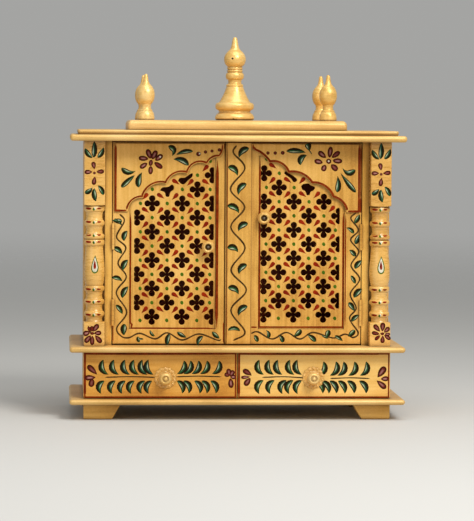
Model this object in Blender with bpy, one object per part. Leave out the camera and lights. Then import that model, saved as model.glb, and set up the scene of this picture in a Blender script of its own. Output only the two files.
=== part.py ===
"""Household altar cabinet: a painted wooden home temple.

Four bracket feet carry a base slab, two drawers side by side, a waist slab and
a small shrine room. Two doors close the room. Each has a pierced lattice under
a lobed arch board, and the right one carries the raised middle strip. Turned
corner columns stand before the room, and five turned finials stand on a plank
on the roof.

Units are metres. +X is the viewer's right, -Y is the front and +Z is up. The
origin lies on the floor under the middle of the slabs.
"""

import math

import bmesh
import bpy
from mathutils import Matrix, Vector

# Overall size
WIDTH = 0.610
DEPTH = 0.305
HEIGHT = 0.698

# Space that touching pieces keep between them
JOINT_GAP = 0.0003

# Heights of the layers, from the floor up
FOOT_HEIGHT = 0.0285
BASE_THICKNESS = 0.0095
DRAWER_ZONE = 0.0854
WAIST_THICKNESS = 0.0101
ROOM_HEIGHT = 0.3723
TOP_THICKNESS = 0.0114
CORNICE_HEIGHT = 0.0087
PLANK_HEIGHT = 0.0179

# Cabinet body
SIDE_OVERHANG = 0.0255
FRONT_OVERHANG = 0.025
BOARD = 0.012
BACK_BOARD = 0.006
FOOT_TOP_WIDTH = 0.068
FOOT_BOTTOM_WIDTH = 0.052
SLAB_ROUNDING = 0.0035
SLAB_ROUNDING_STEPS = 6
CORNICE_INSET = 0.014
CORNICE_GROOVE = 0.003
CORNICE_GROOVE_SHARE = 0.45
CORNICE_EASING = 0.0010
PLANK_ROUNDING_STEPS = 3

# Corner columns
COLUMN_SIDE = 0.038
COLUMN_NECK_RADIUS = 0.0160
TOP_BLOCK_HEIGHT = 0.1135
BOTTOM_BLOCK_HEIGHT = 0.0405
BLOCK_SHOULDER = 0.0035
COLUMN_SIDES_AROUND = 16
# The turned shaft from the top down, as kinds of moulding and their heights
SHAFT_MOULDINGS = (
    ("bead", 0.0118),
    ("neck", 0.0155),
    ("bead", 0.0110),
    ("neck", 0.0146),
    ("bead", 0.0100),
    ("bead", 0.0128),
    ("barrel", 0.0739),
    ("bead", 0.0109),
    ("neck", 0.0146),
    ("bead", 0.0100),
    ("neck", 0.0119),
    ("bead", 0.0109),
    ("neck", 0.0091),
)

# Door frames
STILE_REBATE = 0.010
DOOR_SETBACK = 0.027
DOOR_THICKNESS = 0.016
DOOR_OUTER_EDGE = 0.2272
DOOR_END_GAP = 0.0022
LEFT_DOOR_MEETING_EDGE = -0.0235
RIGHT_DOOR_MEETING_EDGE = -0.0220
OUTER_STILE_WIDTH = 0.0307
LATTICE_OPENING_INNER = 0.0390
BOTTOM_RAIL_HEIGHT = 0.0272
TOP_RAIL_HEIGHT = 0.0235
OVERLAY_THICKNESS = 0.003
MIDDLE_STRIP_THICKNESS = 0.0035
MIDDLE_STRIP_LEFT = -0.0192
MIDDLE_STRIP_RIGHT = 0.0248

# Pierced lattice of each door, measured from the middle of the cabinet
LATTICE_RECESS = 0.003
LATTICE_THICKNESS = 0.006
LATTICE_PITCH_X = 0.0274
LATTICE_PITCH_Z = 0.02587
LEFT_LATTICE_FIRST = (0.0457, 0.1850)
RIGHT_LATTICE_FIRST = (0.0490, 0.1892)
LATTICE_COLUMNS = 6
LATTICE_ROWS = 12
PIERCED_INNER = 0.0426
PIERCED_OUTER = 0.1880
PIERCED_TOP = 0.4700
HOLE_HALF_WIDTH = 0.0140
HOLE_HALF_HEIGHT = 0.0150
HOLE_ARM_HALF_WIDTH = 0.0056
HOLE_CORNER = 0.0046
HOLE_SHOULDER_SHARE = 0.66

# Lobed arch boards, cut by hand and not quite alike: cusps as (distance from
# the middle, height), outside in, and how far each lobe swells between two
ARCH_OUTER_EDGE = 0.2238
ARCH_INNER_EDGE = 0.0253
ARCH_TOP_MARGIN = 0.002
ARCH_FOOT = (0.1994, 0.3770)
LEFT_ARCH_CUSPS = (
    (0.1720, 0.4023),
    (0.1295, 0.4276),
    (0.0907, 0.4462),
    (0.0553, 0.4625),
    (0.0335, 0.4770),
    (ARCH_INNER_EDGE, 0.4955),
)
LEFT_ARCH_SWELLS = (0.0085, 0.0112, 0.0096, 0.0112, 0.0050, -0.0020)
RIGHT_ARCH_CUSPS = (
    (0.1737, 0.4044),
    (0.1352, 0.4294),
    (0.0920, 0.4484),
    (0.0579, 0.4672),
    (0.0330, 0.4885),
    (ARCH_INNER_EDGE, 0.4962),
)
RIGHT_ARCH_SWELLS = (0.0064, 0.0083, 0.0079, 0.0080, 0.0026, -0.0008)
ARCH_STEPS_PER_LOBE = 4
ARCH_HIDDEN_MARGIN = 0.010

# Door hinges
HINGE_KNUCKLE_RADIUS = 0.0026
HINGE_AXIS_X = 0.2265
HINGE_LEAF_OUTER = 0.2284
HINGE_LEAF_INNER = 0.2275
HINGE_LEAF_DEPTH = 0.015
HINGE_LENGTH = 0.048
HINGE_CENTRES_Z = (0.193, 0.332)
HINGE_SIDES_AROUND = 10

# Knobs and the carved roses behind the drawer knobs
KNOB_RADIUS = 0.0115
KNOB_NECK_RADIUS = 0.0060
KNOB_PROJECTION = 0.0205
KNOB_SIDES_AROUND = 10
LEFT_DOOR_KNOB = (-0.0535, 0.3135)
RIGHT_DOOR_KNOB = (0.0480, 0.3665)
LEFT_DRAWER_KNOB = (-0.1312, 0.0756)
RIGHT_DRAWER_KNOB = (0.1386, 0.0762)
ROSE_RADIUS = 0.0205
ROSE_SCALLOP = 0.0016
ROSE_THICKNESS = 0.0032
ROSE_SCALLOPS = 14

# Drawers
DRAWER_FRONT_THICKNESS = 0.0112
DRAWER_FRONT_SIDE_GAP = 0.0006
DRAWER_FRONT_END_GAP = 0.0010
DRAWER_SIDE_CLEARANCE = 0.0015
DRAWER_RUNNING_GAP = 0.0005
DRAWER_WALL = 0.009
DRAWER_WALL_HEIGHT = 0.062
DRAWER_BOX_DEPTH = 0.226
DRAWER_BOTTOM_THICKNESS = 0.004
DRAWER_BOTTOM_RAISE = 0.003

# Roof plank and finials
PLANK_WIDTH = 0.400
PLANK_FRONT_INSET = 0.050
PLANK_DEPTH = 0.205
SMALL_FINIAL_X = 0.1670
SMALL_FINIAL_FRONT_INSET = 0.028
SMALL_FINIAL_BACK_INSET = 0.025
SMALL_FINIAL_SIDES_AROUND = 10
TALL_FINIAL_SIDES_AROUND = 16

# Levels and planes that follow from the sizes above
BASE_TOP = FOOT_HEIGHT + BASE_THICKNESS
WAIST_BOTTOM = BASE_TOP + DRAWER_ZONE
ROOM_BOTTOM = WAIST_BOTTOM + WAIST_THICKNESS
ROOM_TOP = ROOM_BOTTOM + ROOM_HEIGHT
ROOF_TOP = ROOM_TOP + TOP_THICKNESS
CORNICE_TOP = ROOF_TOP + CORNICE_HEIGHT
PLANK_TOP = CORNICE_TOP + PLANK_HEIGHT
SLAB_FRONT = -DEPTH / 2
SLAB_BACK = DEPTH / 2
BODY_FRONT = SLAB_FRONT + FRONT_OVERHANG
BODY_HALF_WIDTH = WIDTH / 2 - SIDE_OVERHANG
INNER_HALF_WIDTH = BODY_HALF_WIDTH - BOARD
COLUMN_INNER_EDGE = BODY_HALF_WIDTH - COLUMN_SIDE
COLUMN_BACK = BODY_FRONT + COLUMN_SIDE
DOOR_FRONT = BODY_FRONT + DOOR_SETBACK
DOOR_BACK = DOOR_FRONT + DOOR_THICKNESS
DOOR_BOTTOM = ROOM_BOTTOM + DOOR_END_GAP
DOOR_TOP = ROOM_TOP - DOOR_END_GAP
LATTICE_OPENING_OUTER = DOOR_OUTER_EDGE - OUTER_STILE_WIDTH
OVERLAY_BACK = DOOR_FRONT - JOINT_GAP
HINGE_AXIS_Y = DOOR_FRONT - JOINT_GAP - HINGE_KNUCKLE_RADIUS
DRAWER_FRONT_BACK = BODY_FRONT + DRAWER_FRONT_THICKNESS
CASE_FRONT = DRAWER_FRONT_BACK + DRAWER_RUNNING_GAP
PLANK_FRONT = SLAB_FRONT + PLANK_FRONT_INSET

LEFT = -1
RIGHT = 1


def clear_scene():
    """Remove every object of the open scene."""
    for obj in list(bpy.context.scene.objects):
        bpy.data.objects.remove(obj, do_unlink=True)


def paint(name, colour, roughness, metallic):
    """Return a new material with one Principled shader."""
    material = bpy.data.materials.new(name)
    material.use_nodes = True
    shader = material.node_tree.nodes["Principled BSDF"]
    shader.inputs["Base Color"].default_value = (*colour, 1.0)
    shader.inputs["Roughness"].default_value = roughness
    shader.inputs["Metallic"].default_value = metallic
    material.diffuse_color = (*colour, 1.0)
    return material


def add_piece(name, bm, location, material, parent=None, smooth_angle=None):
    """Turn a bmesh into a named object that stands at a world location."""
    bmesh.ops.recalc_face_normals(bm, faces=bm.faces)
    mesh = bpy.data.meshes.new(name)
    bm.to_mesh(mesh)
    bm.free()
    mesh.materials.append(material)
    if smooth_angle is not None:
        mesh.shade_smooth()
        mesh.set_sharp_from_angle(angle=math.radians(smooth_angle))
    obj = bpy.data.objects.new(name, mesh)
    bpy.context.scene.collection.objects.link(obj)
    obj.location = Vector(location)
    if parent is not None:
        obj.parent = parent
        obj.location = Vector(location) - parent.location
    return obj


def add_axis(name, location):
    """Add an empty that carries the pieces of one moving body."""
    empty = bpy.data.objects.new(name, None)
    empty.empty_display_size = 0.02
    bpy.context.scene.collection.objects.link(empty)
    empty.location = Vector(location)
    return empty


def loft(rings):
    """Skin closed rings of points, each with the same count, and cap both ends."""
    bm = bmesh.new()
    loops = [[bm.verts.new(point) for point in ring] for ring in rings]
    count = len(loops[0])
    for lower, upper in zip(loops, loops[1:]):
        for i in range(count):
            j = (i + 1) % count
            bm.faces.new((lower[i], lower[j], upper[j], upper[i]))
    bm.faces.new(loops[0])
    bm.faces.new(loops[-1])
    return bm


def lathe(profile, sides):
    """Turn a profile of (radius, height) points about Z, from pole to pole."""
    bm = bmesh.new()
    verts = [bm.verts.new((radius, 0.0, height)) for radius, height in profile]
    edges = [bm.edges.new(pair) for pair in zip(verts, verts[1:])]
    bmesh.ops.spin(
        bm,
        geom=verts + edges,
        cent=(0.0, 0.0, 0.0),
        axis=(0.0, 0.0, 1.0),
        angle=math.tau,
        steps=sides,
        use_merge=True,
    )
    bmesh.ops.remove_doubles(bm, verts=bm.verts, dist=0.00001)
    return bm


def plate(outline, holes, thickness):
    """Fill an outline with holes, drawn in X and Z, and thicken it towards +Y."""
    bm = bmesh.new()
    for loop in (outline, *holes):
        verts = [bm.verts.new((x, 0.0, z)) for x, z in loop]
        for i, vert in enumerate(verts):
            bm.edges.new((vert, verts[(i + 1) % len(verts)]))
    bmesh.ops.triangle_fill(bm, edges=bm.edges[:], use_beauty=True)
    front = bm.faces[:]
    back = bmesh.ops.extrude_face_region(bm, geom=front, use_keep_orig=True)
    moved = [item for item in back["geom"] if isinstance(item, bmesh.types.BMVert)]
    bmesh.ops.translate(bm, verts=moved, vec=(0.0, thickness, 0.0))
    return bm


def board(name, x_range, y_range, z_range, material, parent=None):
    """Add a squared board between two planes on each axis."""
    size = [high - low for low, high in (x_range, y_range, z_range)]
    centre = [(low + high) / 2 for low, high in (x_range, y_range, z_range)]
    bm = bmesh.new()
    bmesh.ops.create_cube(bm, size=1.0)
    bmesh.ops.scale(bm, vec=size, verts=bm.verts)
    return add_piece(name, bm, centre, material, parent)


def mirrored_range(side, near, far):
    """Return the range from near to far, on the given side of the middle."""
    return tuple(sorted((side * near, side * far)))


def side_name(side):
    """Name a side of the cabinet as the viewer sees it."""
    return "left" if side == LEFT else "right"


def moulded_board(name, half_width, front, back, rings, back_moulded, material):
    """Add a slab whose edge follows rings of (height, inset)."""
    points = []
    for height, inset in rings:
        rear = back - inset if back_moulded else back
        side = half_width - inset
        points.append(
            [
                (-side, front + inset, height),
                (side, front + inset, height),
                (side, rear, height),
                (-side, rear, height),
            ]
        )
    return add_piece(name, loft(points), (0.0, 0.0, 0.0), material)


def bullnose(bottom, top, depth, steps):
    """Rings of a rounded edge: half an ellipse from the underside to the top."""
    middle = (bottom + top) / 2
    half = (top - bottom) / 2
    rings = []
    for i in range(steps + 1):
        angle = math.pi * (i / steps - 0.5)
        rings.append((middle + half * math.sin(angle), depth * (1.0 - math.cos(angle))))
    return rings


def make_slabs(gold):
    """Base, waist and roof slabs, the cornice and the plank of the finials."""
    half = WIDTH / 2
    slabs = (
        ("base_slab", FOOT_HEIGHT, BASE_TOP),
        ("waist_slab", WAIST_BOTTOM, ROOM_BOTTOM),
        ("roof_slab", ROOM_TOP, ROOF_TOP),
    )
    for name, bottom, top in slabs:
        rings = bullnose(bottom, top, SLAB_ROUNDING, SLAB_ROUNDING_STEPS)
        moulded_board(name, half, SLAB_FRONT, SLAB_BACK, rings, False, gold)
    bottom = ROOF_TOP + JOINT_GAP
    groove_top = ROOF_TOP + CORNICE_HEIGHT * CORNICE_GROOVE_SHARE
    rings = (
        (bottom, CORNICE_GROOVE),
        (groove_top, CORNICE_GROOVE),
        (groove_top + CORNICE_EASING, CORNICE_EASING),
        (CORNICE_TOP - CORNICE_EASING, 0.0),
        (CORNICE_TOP, CORNICE_EASING),
    )
    moulded_board(
        "cornice",
        half - CORNICE_INSET,
        SLAB_FRONT + CORNICE_INSET,
        SLAB_BACK - CORNICE_INSET,
        rings,
        True,
        gold,
    )
    rings = [(CORNICE_TOP + JOINT_GAP, 0.0)]
    radius = PLANK_HEIGHT / 2
    for i in range(PLANK_ROUNDING_STEPS + 1):
        angle = math.pi / 2 * i / PLANK_ROUNDING_STEPS
        level = PLANK_TOP - radius + radius * math.sin(angle)
        rings.append((level, radius * (1.0 - math.cos(angle))))
    plank_back = PLANK_FRONT + PLANK_DEPTH
    half_plank = PLANK_WIDTH / 2
    moulded_board("finial_plank", half_plank, PLANK_FRONT, plank_back, rings, True, gold)


def make_feet(gold):
    """Bracket feet: their two inner faces slope in towards the floor."""
    places = (
        ("front", BODY_FRONT, 1),
        ("back", SLAB_BACK, -1),
    )
    for depth_name, outer_y, inward in places:
        for side in (LEFT, RIGHT):
            outer_x = side * BODY_HALF_WIDTH
            rings = []
            levels = (
                (0.0, FOOT_BOTTOM_WIDTH),
                (FOOT_HEIGHT - JOINT_GAP, FOOT_TOP_WIDTH),
            )
            for height, reach in levels:
                inner_x = outer_x - side * reach
                inner_y = outer_y + inward * reach
                rings.append(
                    [
                        (outer_x, outer_y, height),
                        (inner_x, outer_y, height),
                        (inner_x, inner_y, height),
                        (outer_x, inner_y, height),
                    ]
                )
            name = f"foot_{depth_name}_{side_name(side)}"
            add_piece(name, loft(rings), (0.0, 0.0, 0.0), gold)


def make_drawer_case(gold):
    """The two ends, the divider and the back of the drawer case."""
    levels = (BASE_TOP + JOINT_GAP, WAIST_BOTTOM - JOINT_GAP)
    depth = (CASE_FRONT, SLAB_BACK)
    for side in (LEFT, RIGHT):
        width = mirrored_range(side, INNER_HALF_WIDTH, BODY_HALF_WIDTH)
        board(f"drawer_case_{side_name(side)}_end", width, depth, levels, gold)
    divider_depth = (CASE_FRONT, SLAB_BACK - BACK_BOARD - JOINT_GAP)
    board("drawer_case_divider", (-BOARD / 2, BOARD / 2), divider_depth, levels, gold)
    width = INNER_HALF_WIDTH - JOINT_GAP
    back_depth = (SLAB_BACK - BACK_BOARD, SLAB_BACK)
    board("drawer_case_back", (-width, width), back_depth, levels, gold)


def make_room(gold):
    """Side and back boards of the shrine room and the posts that take the doors."""
    levels = (ROOM_BOTTOM + JOINT_GAP, ROOM_TOP - JOINT_GAP)
    width = INNER_HALF_WIDTH - JOINT_GAP
    back_depth = (SLAB_BACK - BACK_BOARD, SLAB_BACK)
    board("room_back", (-width, width), back_depth, levels, gold)
    height = levels[1] - levels[0]
    post_back = COLUMN_BACK + JOINT_GAP + BOARD
    post_front = COLUMN_BACK - STILE_REBATE
    post_inner = HINGE_LEAF_OUTER + JOINT_GAP
    for side in (LEFT, RIGHT):
        side_range = mirrored_range(side, INNER_HALF_WIDTH, BODY_HALF_WIDTH)
        side_depth = (COLUMN_BACK + JOINT_GAP, SLAB_BACK)
        board(f"room_{side_name(side)}_side", side_range, side_depth, levels, gold)
        outline = (
            (side * post_inner, post_front),
            (side * (COLUMN_INNER_EDGE - JOINT_GAP), post_front),
            (side * (COLUMN_INNER_EDGE - JOINT_GAP), COLUMN_BACK + JOINT_GAP),
            (side * width, COLUMN_BACK + JOINT_GAP),
            (side * width, post_back),
            (side * post_inner, post_back),
        )
        rings = [[(x, y, z) for x, y in outline] for z in (0.0, height)]
        name = f"{side_name(side)}_door_post"
        add_piece(name, loft(rings), (0.0, 0.0, levels[0]), gold)


def shaft_profile(top, bottom):
    """Return (radius, height) points of the turned shaft, from the top down."""
    full = COLUMN_SIDE / 2
    neck = COLUMN_NECK_RADIUS
    scale = (top - bottom) / sum(height for _, height in SHAFT_MOULDINGS)
    points = [(neck, top)]
    level = top
    for kind, height in SHAFT_MOULDINGS:
        height *= scale
        if kind == "bead":
            points.append((full, level - height / 2))
        if kind == "barrel":
            for part in (0.10, 0.40, 0.72, 0.92):
                swell = math.sin(math.pi * part ** 1.6)
                points.append((neck + (full - neck) * swell, level - height * part))
        level -= height
        points.append((neck, level))
    return points


def ring_round(radius, height, sides):
    """Points of a round ring."""
    angles = [math.tau * i / sides for i in range(sides)]
    return [(radius * math.cos(a), radius * math.sin(a), height) for a in angles]


def ring_square(half, height, sides):
    """Points of a square ring, in the same directions as a round one."""
    points = []
    for x, y, _ in ring_round(1.0, 0.0, sides):
        reach = half / max(abs(x), abs(y))
        points.append((x * reach, y * reach, height))
    return points


def make_columns(gold):
    """Corner columns: square blocks above and below a turned shaft."""
    half = COLUMN_SIDE / 2
    sides = COLUMN_SIDES_AROUND
    bottom = ROOM_BOTTOM + JOINT_GAP
    top = ROOM_TOP - JOINT_GAP
    low_block = ROOM_BOTTOM + BOTTOM_BLOCK_HEIGHT
    high_block = ROOM_TOP - TOP_BLOCK_HEIGHT
    shaft = shaft_profile(high_block - BLOCK_SHOULDER, low_block + BLOCK_SHOULDER)
    rings = [ring_square(half, top, sides), ring_square(half, high_block, sides)]
    rings += [ring_round(radius, height, sides) for radius, height in shaft]
    rings += [ring_square(half, low_block, sides), ring_square(half, bottom, sides)]
    for side in (LEFT, RIGHT):
        place = (side * (BODY_HALF_WIDTH - half), BODY_FRONT + half, 0.0)
        add_piece(f"{side_name(side)}_column", loft(rings), place, gold, smooth_angle=40)


def tall_finial_profile():
    """Base torus, bell, neck, bead, ball and spike of the middle finial."""
    bottom = PLANK_TOP + JOINT_GAP
    return (
        (0.0, bottom),
        (0.0340, bottom),
        (0.0362, PLANK_TOP + 0.0070),
        (0.0345, PLANK_TOP + 0.0145),
        (0.0335, PLANK_TOP + 0.0160),
        (0.0349, PLANK_TOP + 0.0215),
        (0.0335, PLANK_TOP + 0.0300),
        (0.0287, PLANK_TOP + 0.0312),
        (0.0245, PLANK_TOP + 0.0400),
        (0.0190, PLANK_TOP + 0.0520),
        (0.0160, PLANK_TOP + 0.0628),
        (0.0137, PLANK_TOP + 0.0650),
        (0.0137, PLANK_TOP + 0.0735),
        (0.0178, PLANK_TOP + 0.0775),
        (0.0180, PLANK_TOP + 0.0845),
        (0.0149, PLANK_TOP + 0.0880),
        (0.0149, PLANK_TOP + 0.0985),
        (0.0188, PLANK_TOP + 0.1050),
        (0.0201, PLANK_TOP + 0.1132),
        (0.0178, PLANK_TOP + 0.1225),
        (0.0121, PLANK_TOP + 0.1292),
        (0.0078, PLANK_TOP + 0.1335),
        (0.0056, PLANK_TOP + 0.1430),
        (0.0036, PLANK_TOP + 0.1512),
        (0.0, HEIGHT),
    )


def small_finial_profile():
    """Flaring foot, neck ring, ball and spike of a corner finial."""
    bottom = PLANK_TOP + JOINT_GAP
    return (
        (0.0, bottom),
        (0.0168, bottom),
        (0.0160, PLANK_TOP + 0.0060),
        (0.0121, PLANK_TOP + 0.0180),
        (0.0098, PLANK_TOP + 0.0245),
        (0.0103, PLANK_TOP + 0.0270),
        (0.0116, PLANK_TOP + 0.0300),
        (0.0150, PLANK_TOP + 0.0370),
        (0.0162, PLANK_TOP + 0.0455),
        (0.0148, PLANK_TOP + 0.0560),
        (0.0106, PLANK_TOP + 0.0645),
        (0.0061, PLANK_TOP + 0.0680),
        (0.0042, PLANK_TOP + 0.0765),
        (0.0026, PLANK_TOP + 0.0828),
        (0.0, PLANK_TOP + 0.0845),
    )


def make_finials(gold):
    """One tall finial in the middle of the plank and four small at its corners."""
    front = PLANK_FRONT + SMALL_FINIAL_FRONT_INSET
    back = PLANK_FRONT + PLANK_DEPTH - SMALL_FINIAL_BACK_INSET
    bm = lathe(tall_finial_profile(), TALL_FINIAL_SIDES_AROUND)
    place = (0.0, (front + back) / 2, 0.0)
    add_piece("finial_middle", bm, place, gold, smooth_angle=40)
    for depth_name, y in (("front", front), ("back", back)):
        for side in (LEFT, RIGHT):
            bm = lathe(small_finial_profile(), SMALL_FINIAL_SIDES_AROUND)
            place = (side * SMALL_FINIAL_X, y, 0.0)
            name = f"finial_{depth_name}_{side_name(side)}"
            add_piece(name, bm, place, gold, smooth_angle=40)


def make_hinges(steel):
    """Knuckle and fixed leaf of each hinge, extruded along the axis."""
    half = HINGE_LENGTH / 2
    radius = HINGE_KNUCKLE_RADIUS
    leaf_back = HINGE_AXIS_Y + HINGE_LEAF_DEPTH
    first = math.acos((HINGE_LEAF_OUTER - HINGE_AXIS_X) / radius)
    last = math.acos((HINGE_LEAF_INNER - HINGE_AXIS_X) / radius) - math.tau
    for side in (LEFT, RIGHT):
        outline = [(side * HINGE_LEAF_INNER, leaf_back), (side * HINGE_LEAF_OUTER, leaf_back)]
        for i in range(HINGE_SIDES_AROUND + 1):
            angle = first + (last - first) * i / HINGE_SIDES_AROUND
            x = HINGE_AXIS_X + radius * math.cos(angle)
            outline.append((side * x, HINGE_AXIS_Y + radius * math.sin(angle)))
        for place, centre_z in zip(("lower", "upper"), HINGE_CENTRES_Z):
            rings = [[(x, y, z) for x, y in outline] for z in (-half, half)]
            name = f"{side_name(side)}_door_{place}_hinge"
            add_piece(name, loft(rings), (0.0, 0.0, centre_z), steel)


def quatrefoil(centre_x, centre_z):
    """Outline of one pierced four-lobed hole: four arms with rounded ends."""
    arm = HOLE_ARM_HALF_WIDTH
    corner = HOLE_CORNER
    quarter = (
        (corner, corner),
        (arm, HOLE_HALF_HEIGHT * HOLE_SHOULDER_SHARE),
        (0.0, HOLE_HALF_HEIGHT),
        (-arm, HOLE_HALF_HEIGHT * HOLE_SHOULDER_SHARE),
    )
    points = []
    for turn in range(4):
        stretch = HOLE_HALF_WIDTH / HOLE_HALF_HEIGHT if turn % 2 else 1.0
        for x, z in quarter:
            z *= stretch
            for _ in range(turn):
                x, z = -z, x
            points.append((centre_x + x, centre_z + z))
    return points


def clip_outline(points, axis, limit, keep_above):
    """Cut an outline along one straight line and keep one side of it."""
    kept = []
    sign = 1.0 if keep_above else -1.0
    for i, here in enumerate(points):
        after = points[(i + 1) % len(points)]
        inside = sign * (here[axis] - limit)
        inside_after = sign * (after[axis] - limit)
        if inside >= 0.0:
            kept.append(here)
        if inside * inside_after < 0.0:
            share = inside / (inside - inside_after)
            kept.append(tuple(a + share * (b - a) for a, b in zip(here, after)))
    return kept


def lobe(start, end, swell, steps):
    """Points of a circular arc from start to just before end."""
    (x0, z0), (x1, z1) = start, end
    chord = math.hypot(x1 - x0, z1 - z0)
    along = ((x1 - x0) / chord, (z1 - z0) / chord)
    across = (along[1], -along[0])
    radius = (chord ** 2 / 4 + swell ** 2) / (2 * abs(swell))
    half_angle = math.asin(chord / 2 / radius)
    points = []
    for i in range(steps):
        angle = half_angle * (2 * i / steps - 1)
        run = chord / 2 + radius * math.sin(angle)
        rise = math.copysign(radius * (math.cos(angle) - math.cos(half_angle)), swell)
        x = x0 + along[0] * run + across[0] * rise
        z = z0 + along[1] * run + across[1] * rise
        points.append((x, z))
    return points


def arch_curve(side, steps):
    """Lower edge of one door's arch board, from its outer foot up to the middle."""
    cusps = LEFT_ARCH_CUSPS if side == LEFT else RIGHT_ARCH_CUSPS
    swells = LEFT_ARCH_SWELLS if side == LEFT else RIGHT_ARCH_SWELLS
    points = []
    start = ARCH_FOOT
    for cusp, swell in zip(cusps, swells):
        points += lobe(start, cusp, swell, steps)
        start = cusp
    points.append(start)
    return points


def arch_height_at(side, x):
    """Height of one door's arch over a distance from the middle."""
    curve = arch_curve(side, ARCH_STEPS_PER_LOBE)
    if x >= ARCH_FOOT[0]:
        return ARCH_FOOT[1]
    for (x0, z0), (x1, z1) in zip(curve, curve[1:]):
        if min(x0, x1) <= x <= max(x0, x1) and x0 != x1:
            return z0 + (z1 - z0) * (x - x0) / (x1 - x0)
    return curve[-1][1]


def lattice_holes(side):
    """Outlines of the pierced holes that show below one door's arch board."""
    first_x, first_z = LEFT_LATTICE_FIRST if side == LEFT else RIGHT_LATTICE_FIRST
    holes = []
    for row in range(LATTICE_ROWS):
        z = first_z + row * LATTICE_PITCH_Z
        for column in range(LATTICE_COLUMNS):
            if (row + column) % 2:
                continue
            x = first_x + column * LATTICE_PITCH_X
            if z - HOLE_HALF_HEIGHT > arch_height_at(side, x) - ARCH_HIDDEN_MARGIN:
                continue
            hole = quatrefoil(x, z)
            hole = clip_outline(hole, 0, PIERCED_INNER, True)
            hole = clip_outline(hole, 0, PIERCED_OUTER, False)
            hole = clip_outline(hole, 1, PIERCED_TOP, False)
            holes.append(hole)
    return holes


def mirrored(points, side):
    """Place an outline drawn for the right door on the given side."""
    return [(side * x, z) for x, z in points]


def make_lattice(side, material, parent):
    """Pierced panel that fills the frame of one door."""
    inner = LATTICE_OPENING_INNER + JOINT_GAP
    outer = LATTICE_OPENING_OUTER - JOINT_GAP
    bottom = DOOR_BOTTOM + BOTTOM_RAIL_HEIGHT + JOINT_GAP
    top = DOOR_TOP - TOP_RAIL_HEIGHT - JOINT_GAP
    outline = ((inner, bottom), (outer, bottom), (outer, top), (inner, top))
    holes = [mirrored(hole, side) for hole in lattice_holes(side)]
    bm = plate(mirrored(outline, side), holes, LATTICE_THICKNESS)
    place = (0.0, DOOR_FRONT + LATTICE_RECESS, 0.0)
    add_piece(f"{side_name(side)}_door_lattice", bm, place, material, parent)


def make_arch(side, material, parent):
    """Lobed arch board laid on the upper part of one door."""
    top = DOOR_TOP - ARCH_TOP_MARGIN
    outline = [(ARCH_INNER_EDGE, top), (ARCH_OUTER_EDGE, top), (ARCH_OUTER_EDGE, ARCH_FOOT[1])]
    outline += arch_curve(side, ARCH_STEPS_PER_LOBE)
    bm = plate(mirrored(outline, side), [], OVERLAY_THICKNESS)
    place = (0.0, OVERLAY_BACK - OVERLAY_THICKNESS, 0.0)
    add_piece(f"{side_name(side)}_door_arch", bm, place, material, parent)


def knob_profile():
    """Neck and round head of a knob, from its seat outwards."""
    reach = KNOB_PROJECTION
    head = KNOB_RADIUS
    return (
        (0.0, 0.0),
        (KNOB_NECK_RADIUS, 0.0),
        (KNOB_NECK_RADIUS * 0.92, reach * 0.26),
        (head * 0.90, reach * 0.46),
        (head, reach * 0.64),
        (head * 0.80, reach * 0.86),
        (head * 0.42, reach),
        (0.0, reach),
    )


def make_knob(name, x, seat_y, z, material, parent):
    """Turned knob whose axis points to the front."""
    bm = lathe(knob_profile(), KNOB_SIDES_AROUND)
    bmesh.ops.rotate(bm, verts=bm.verts, matrix=Matrix.Rotation(math.radians(90), 3, "X"))
    add_piece(name, bm, (x, seat_y - JOINT_GAP, z), material, parent, smooth_angle=50)


def make_door(side, gold, accent):
    """One door: frame, lattice, arch board, knob and the right door's strip."""
    word = side_name(side)
    axis = add_axis(f"{word}_door_axis", (side * HINGE_AXIS_X, HINGE_AXIS_Y, ROOM_BOTTOM))
    depth = (DOOR_FRONT, DOOR_BACK)
    inner = LATTICE_OPENING_INNER
    outer = LATTICE_OPENING_OUTER
    full_height = (DOOR_BOTTOM, DOOR_TOP)
    outer_range = mirrored_range(side, outer, DOOR_OUTER_EDGE)
    board(f"{word}_door_outer_stile", outer_range, depth, full_height, gold, axis)
    meeting = LEFT_DOOR_MEETING_EDGE if side == LEFT else RIGHT_DOOR_MEETING_EDGE
    inner_range = tuple(sorted((meeting, side * inner)))
    board(f"{word}_door_inner_stile", inner_range, depth, full_height, gold, axis)
    rail_range = mirrored_range(side, inner + JOINT_GAP, outer - JOINT_GAP)
    low = (DOOR_BOTTOM, DOOR_BOTTOM + BOTTOM_RAIL_HEIGHT)
    high = (DOOR_TOP - TOP_RAIL_HEIGHT, DOOR_TOP)
    board(f"{word}_door_bottom_rail", rail_range, depth, low, gold, axis)
    board(f"{word}_door_top_rail", rail_range, depth, high, gold, axis)
    make_lattice(side, gold, axis)
    make_arch(side, gold, axis)
    knob_x, knob_z = LEFT_DOOR_KNOB if side == LEFT else RIGHT_DOOR_KNOB
    seat = DOOR_FRONT + LATTICE_RECESS
    make_knob(f"{word}_door_knob", knob_x, seat, knob_z, accent, axis)
    if side == RIGHT:
        strip_depth = (OVERLAY_BACK - MIDDLE_STRIP_THICKNESS, OVERLAY_BACK)
        strip_range = (MIDDLE_STRIP_LEFT, MIDDLE_STRIP_RIGHT)
        board("right_door_middle_strip", strip_range, strip_depth, full_height, gold, axis)


def rose_outline(radius, depth, count):
    """Scalloped ring around the Y axis at a depth in front of the drawer."""
    points = []
    for i in range(count):
        angle = math.tau * i / count
        reach = radius - ROSE_SCALLOP * abs(math.cos(angle * ROSE_SCALLOPS / 2))
        points.append((reach * math.cos(angle), -depth, reach * math.sin(angle)))
    return points


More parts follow.
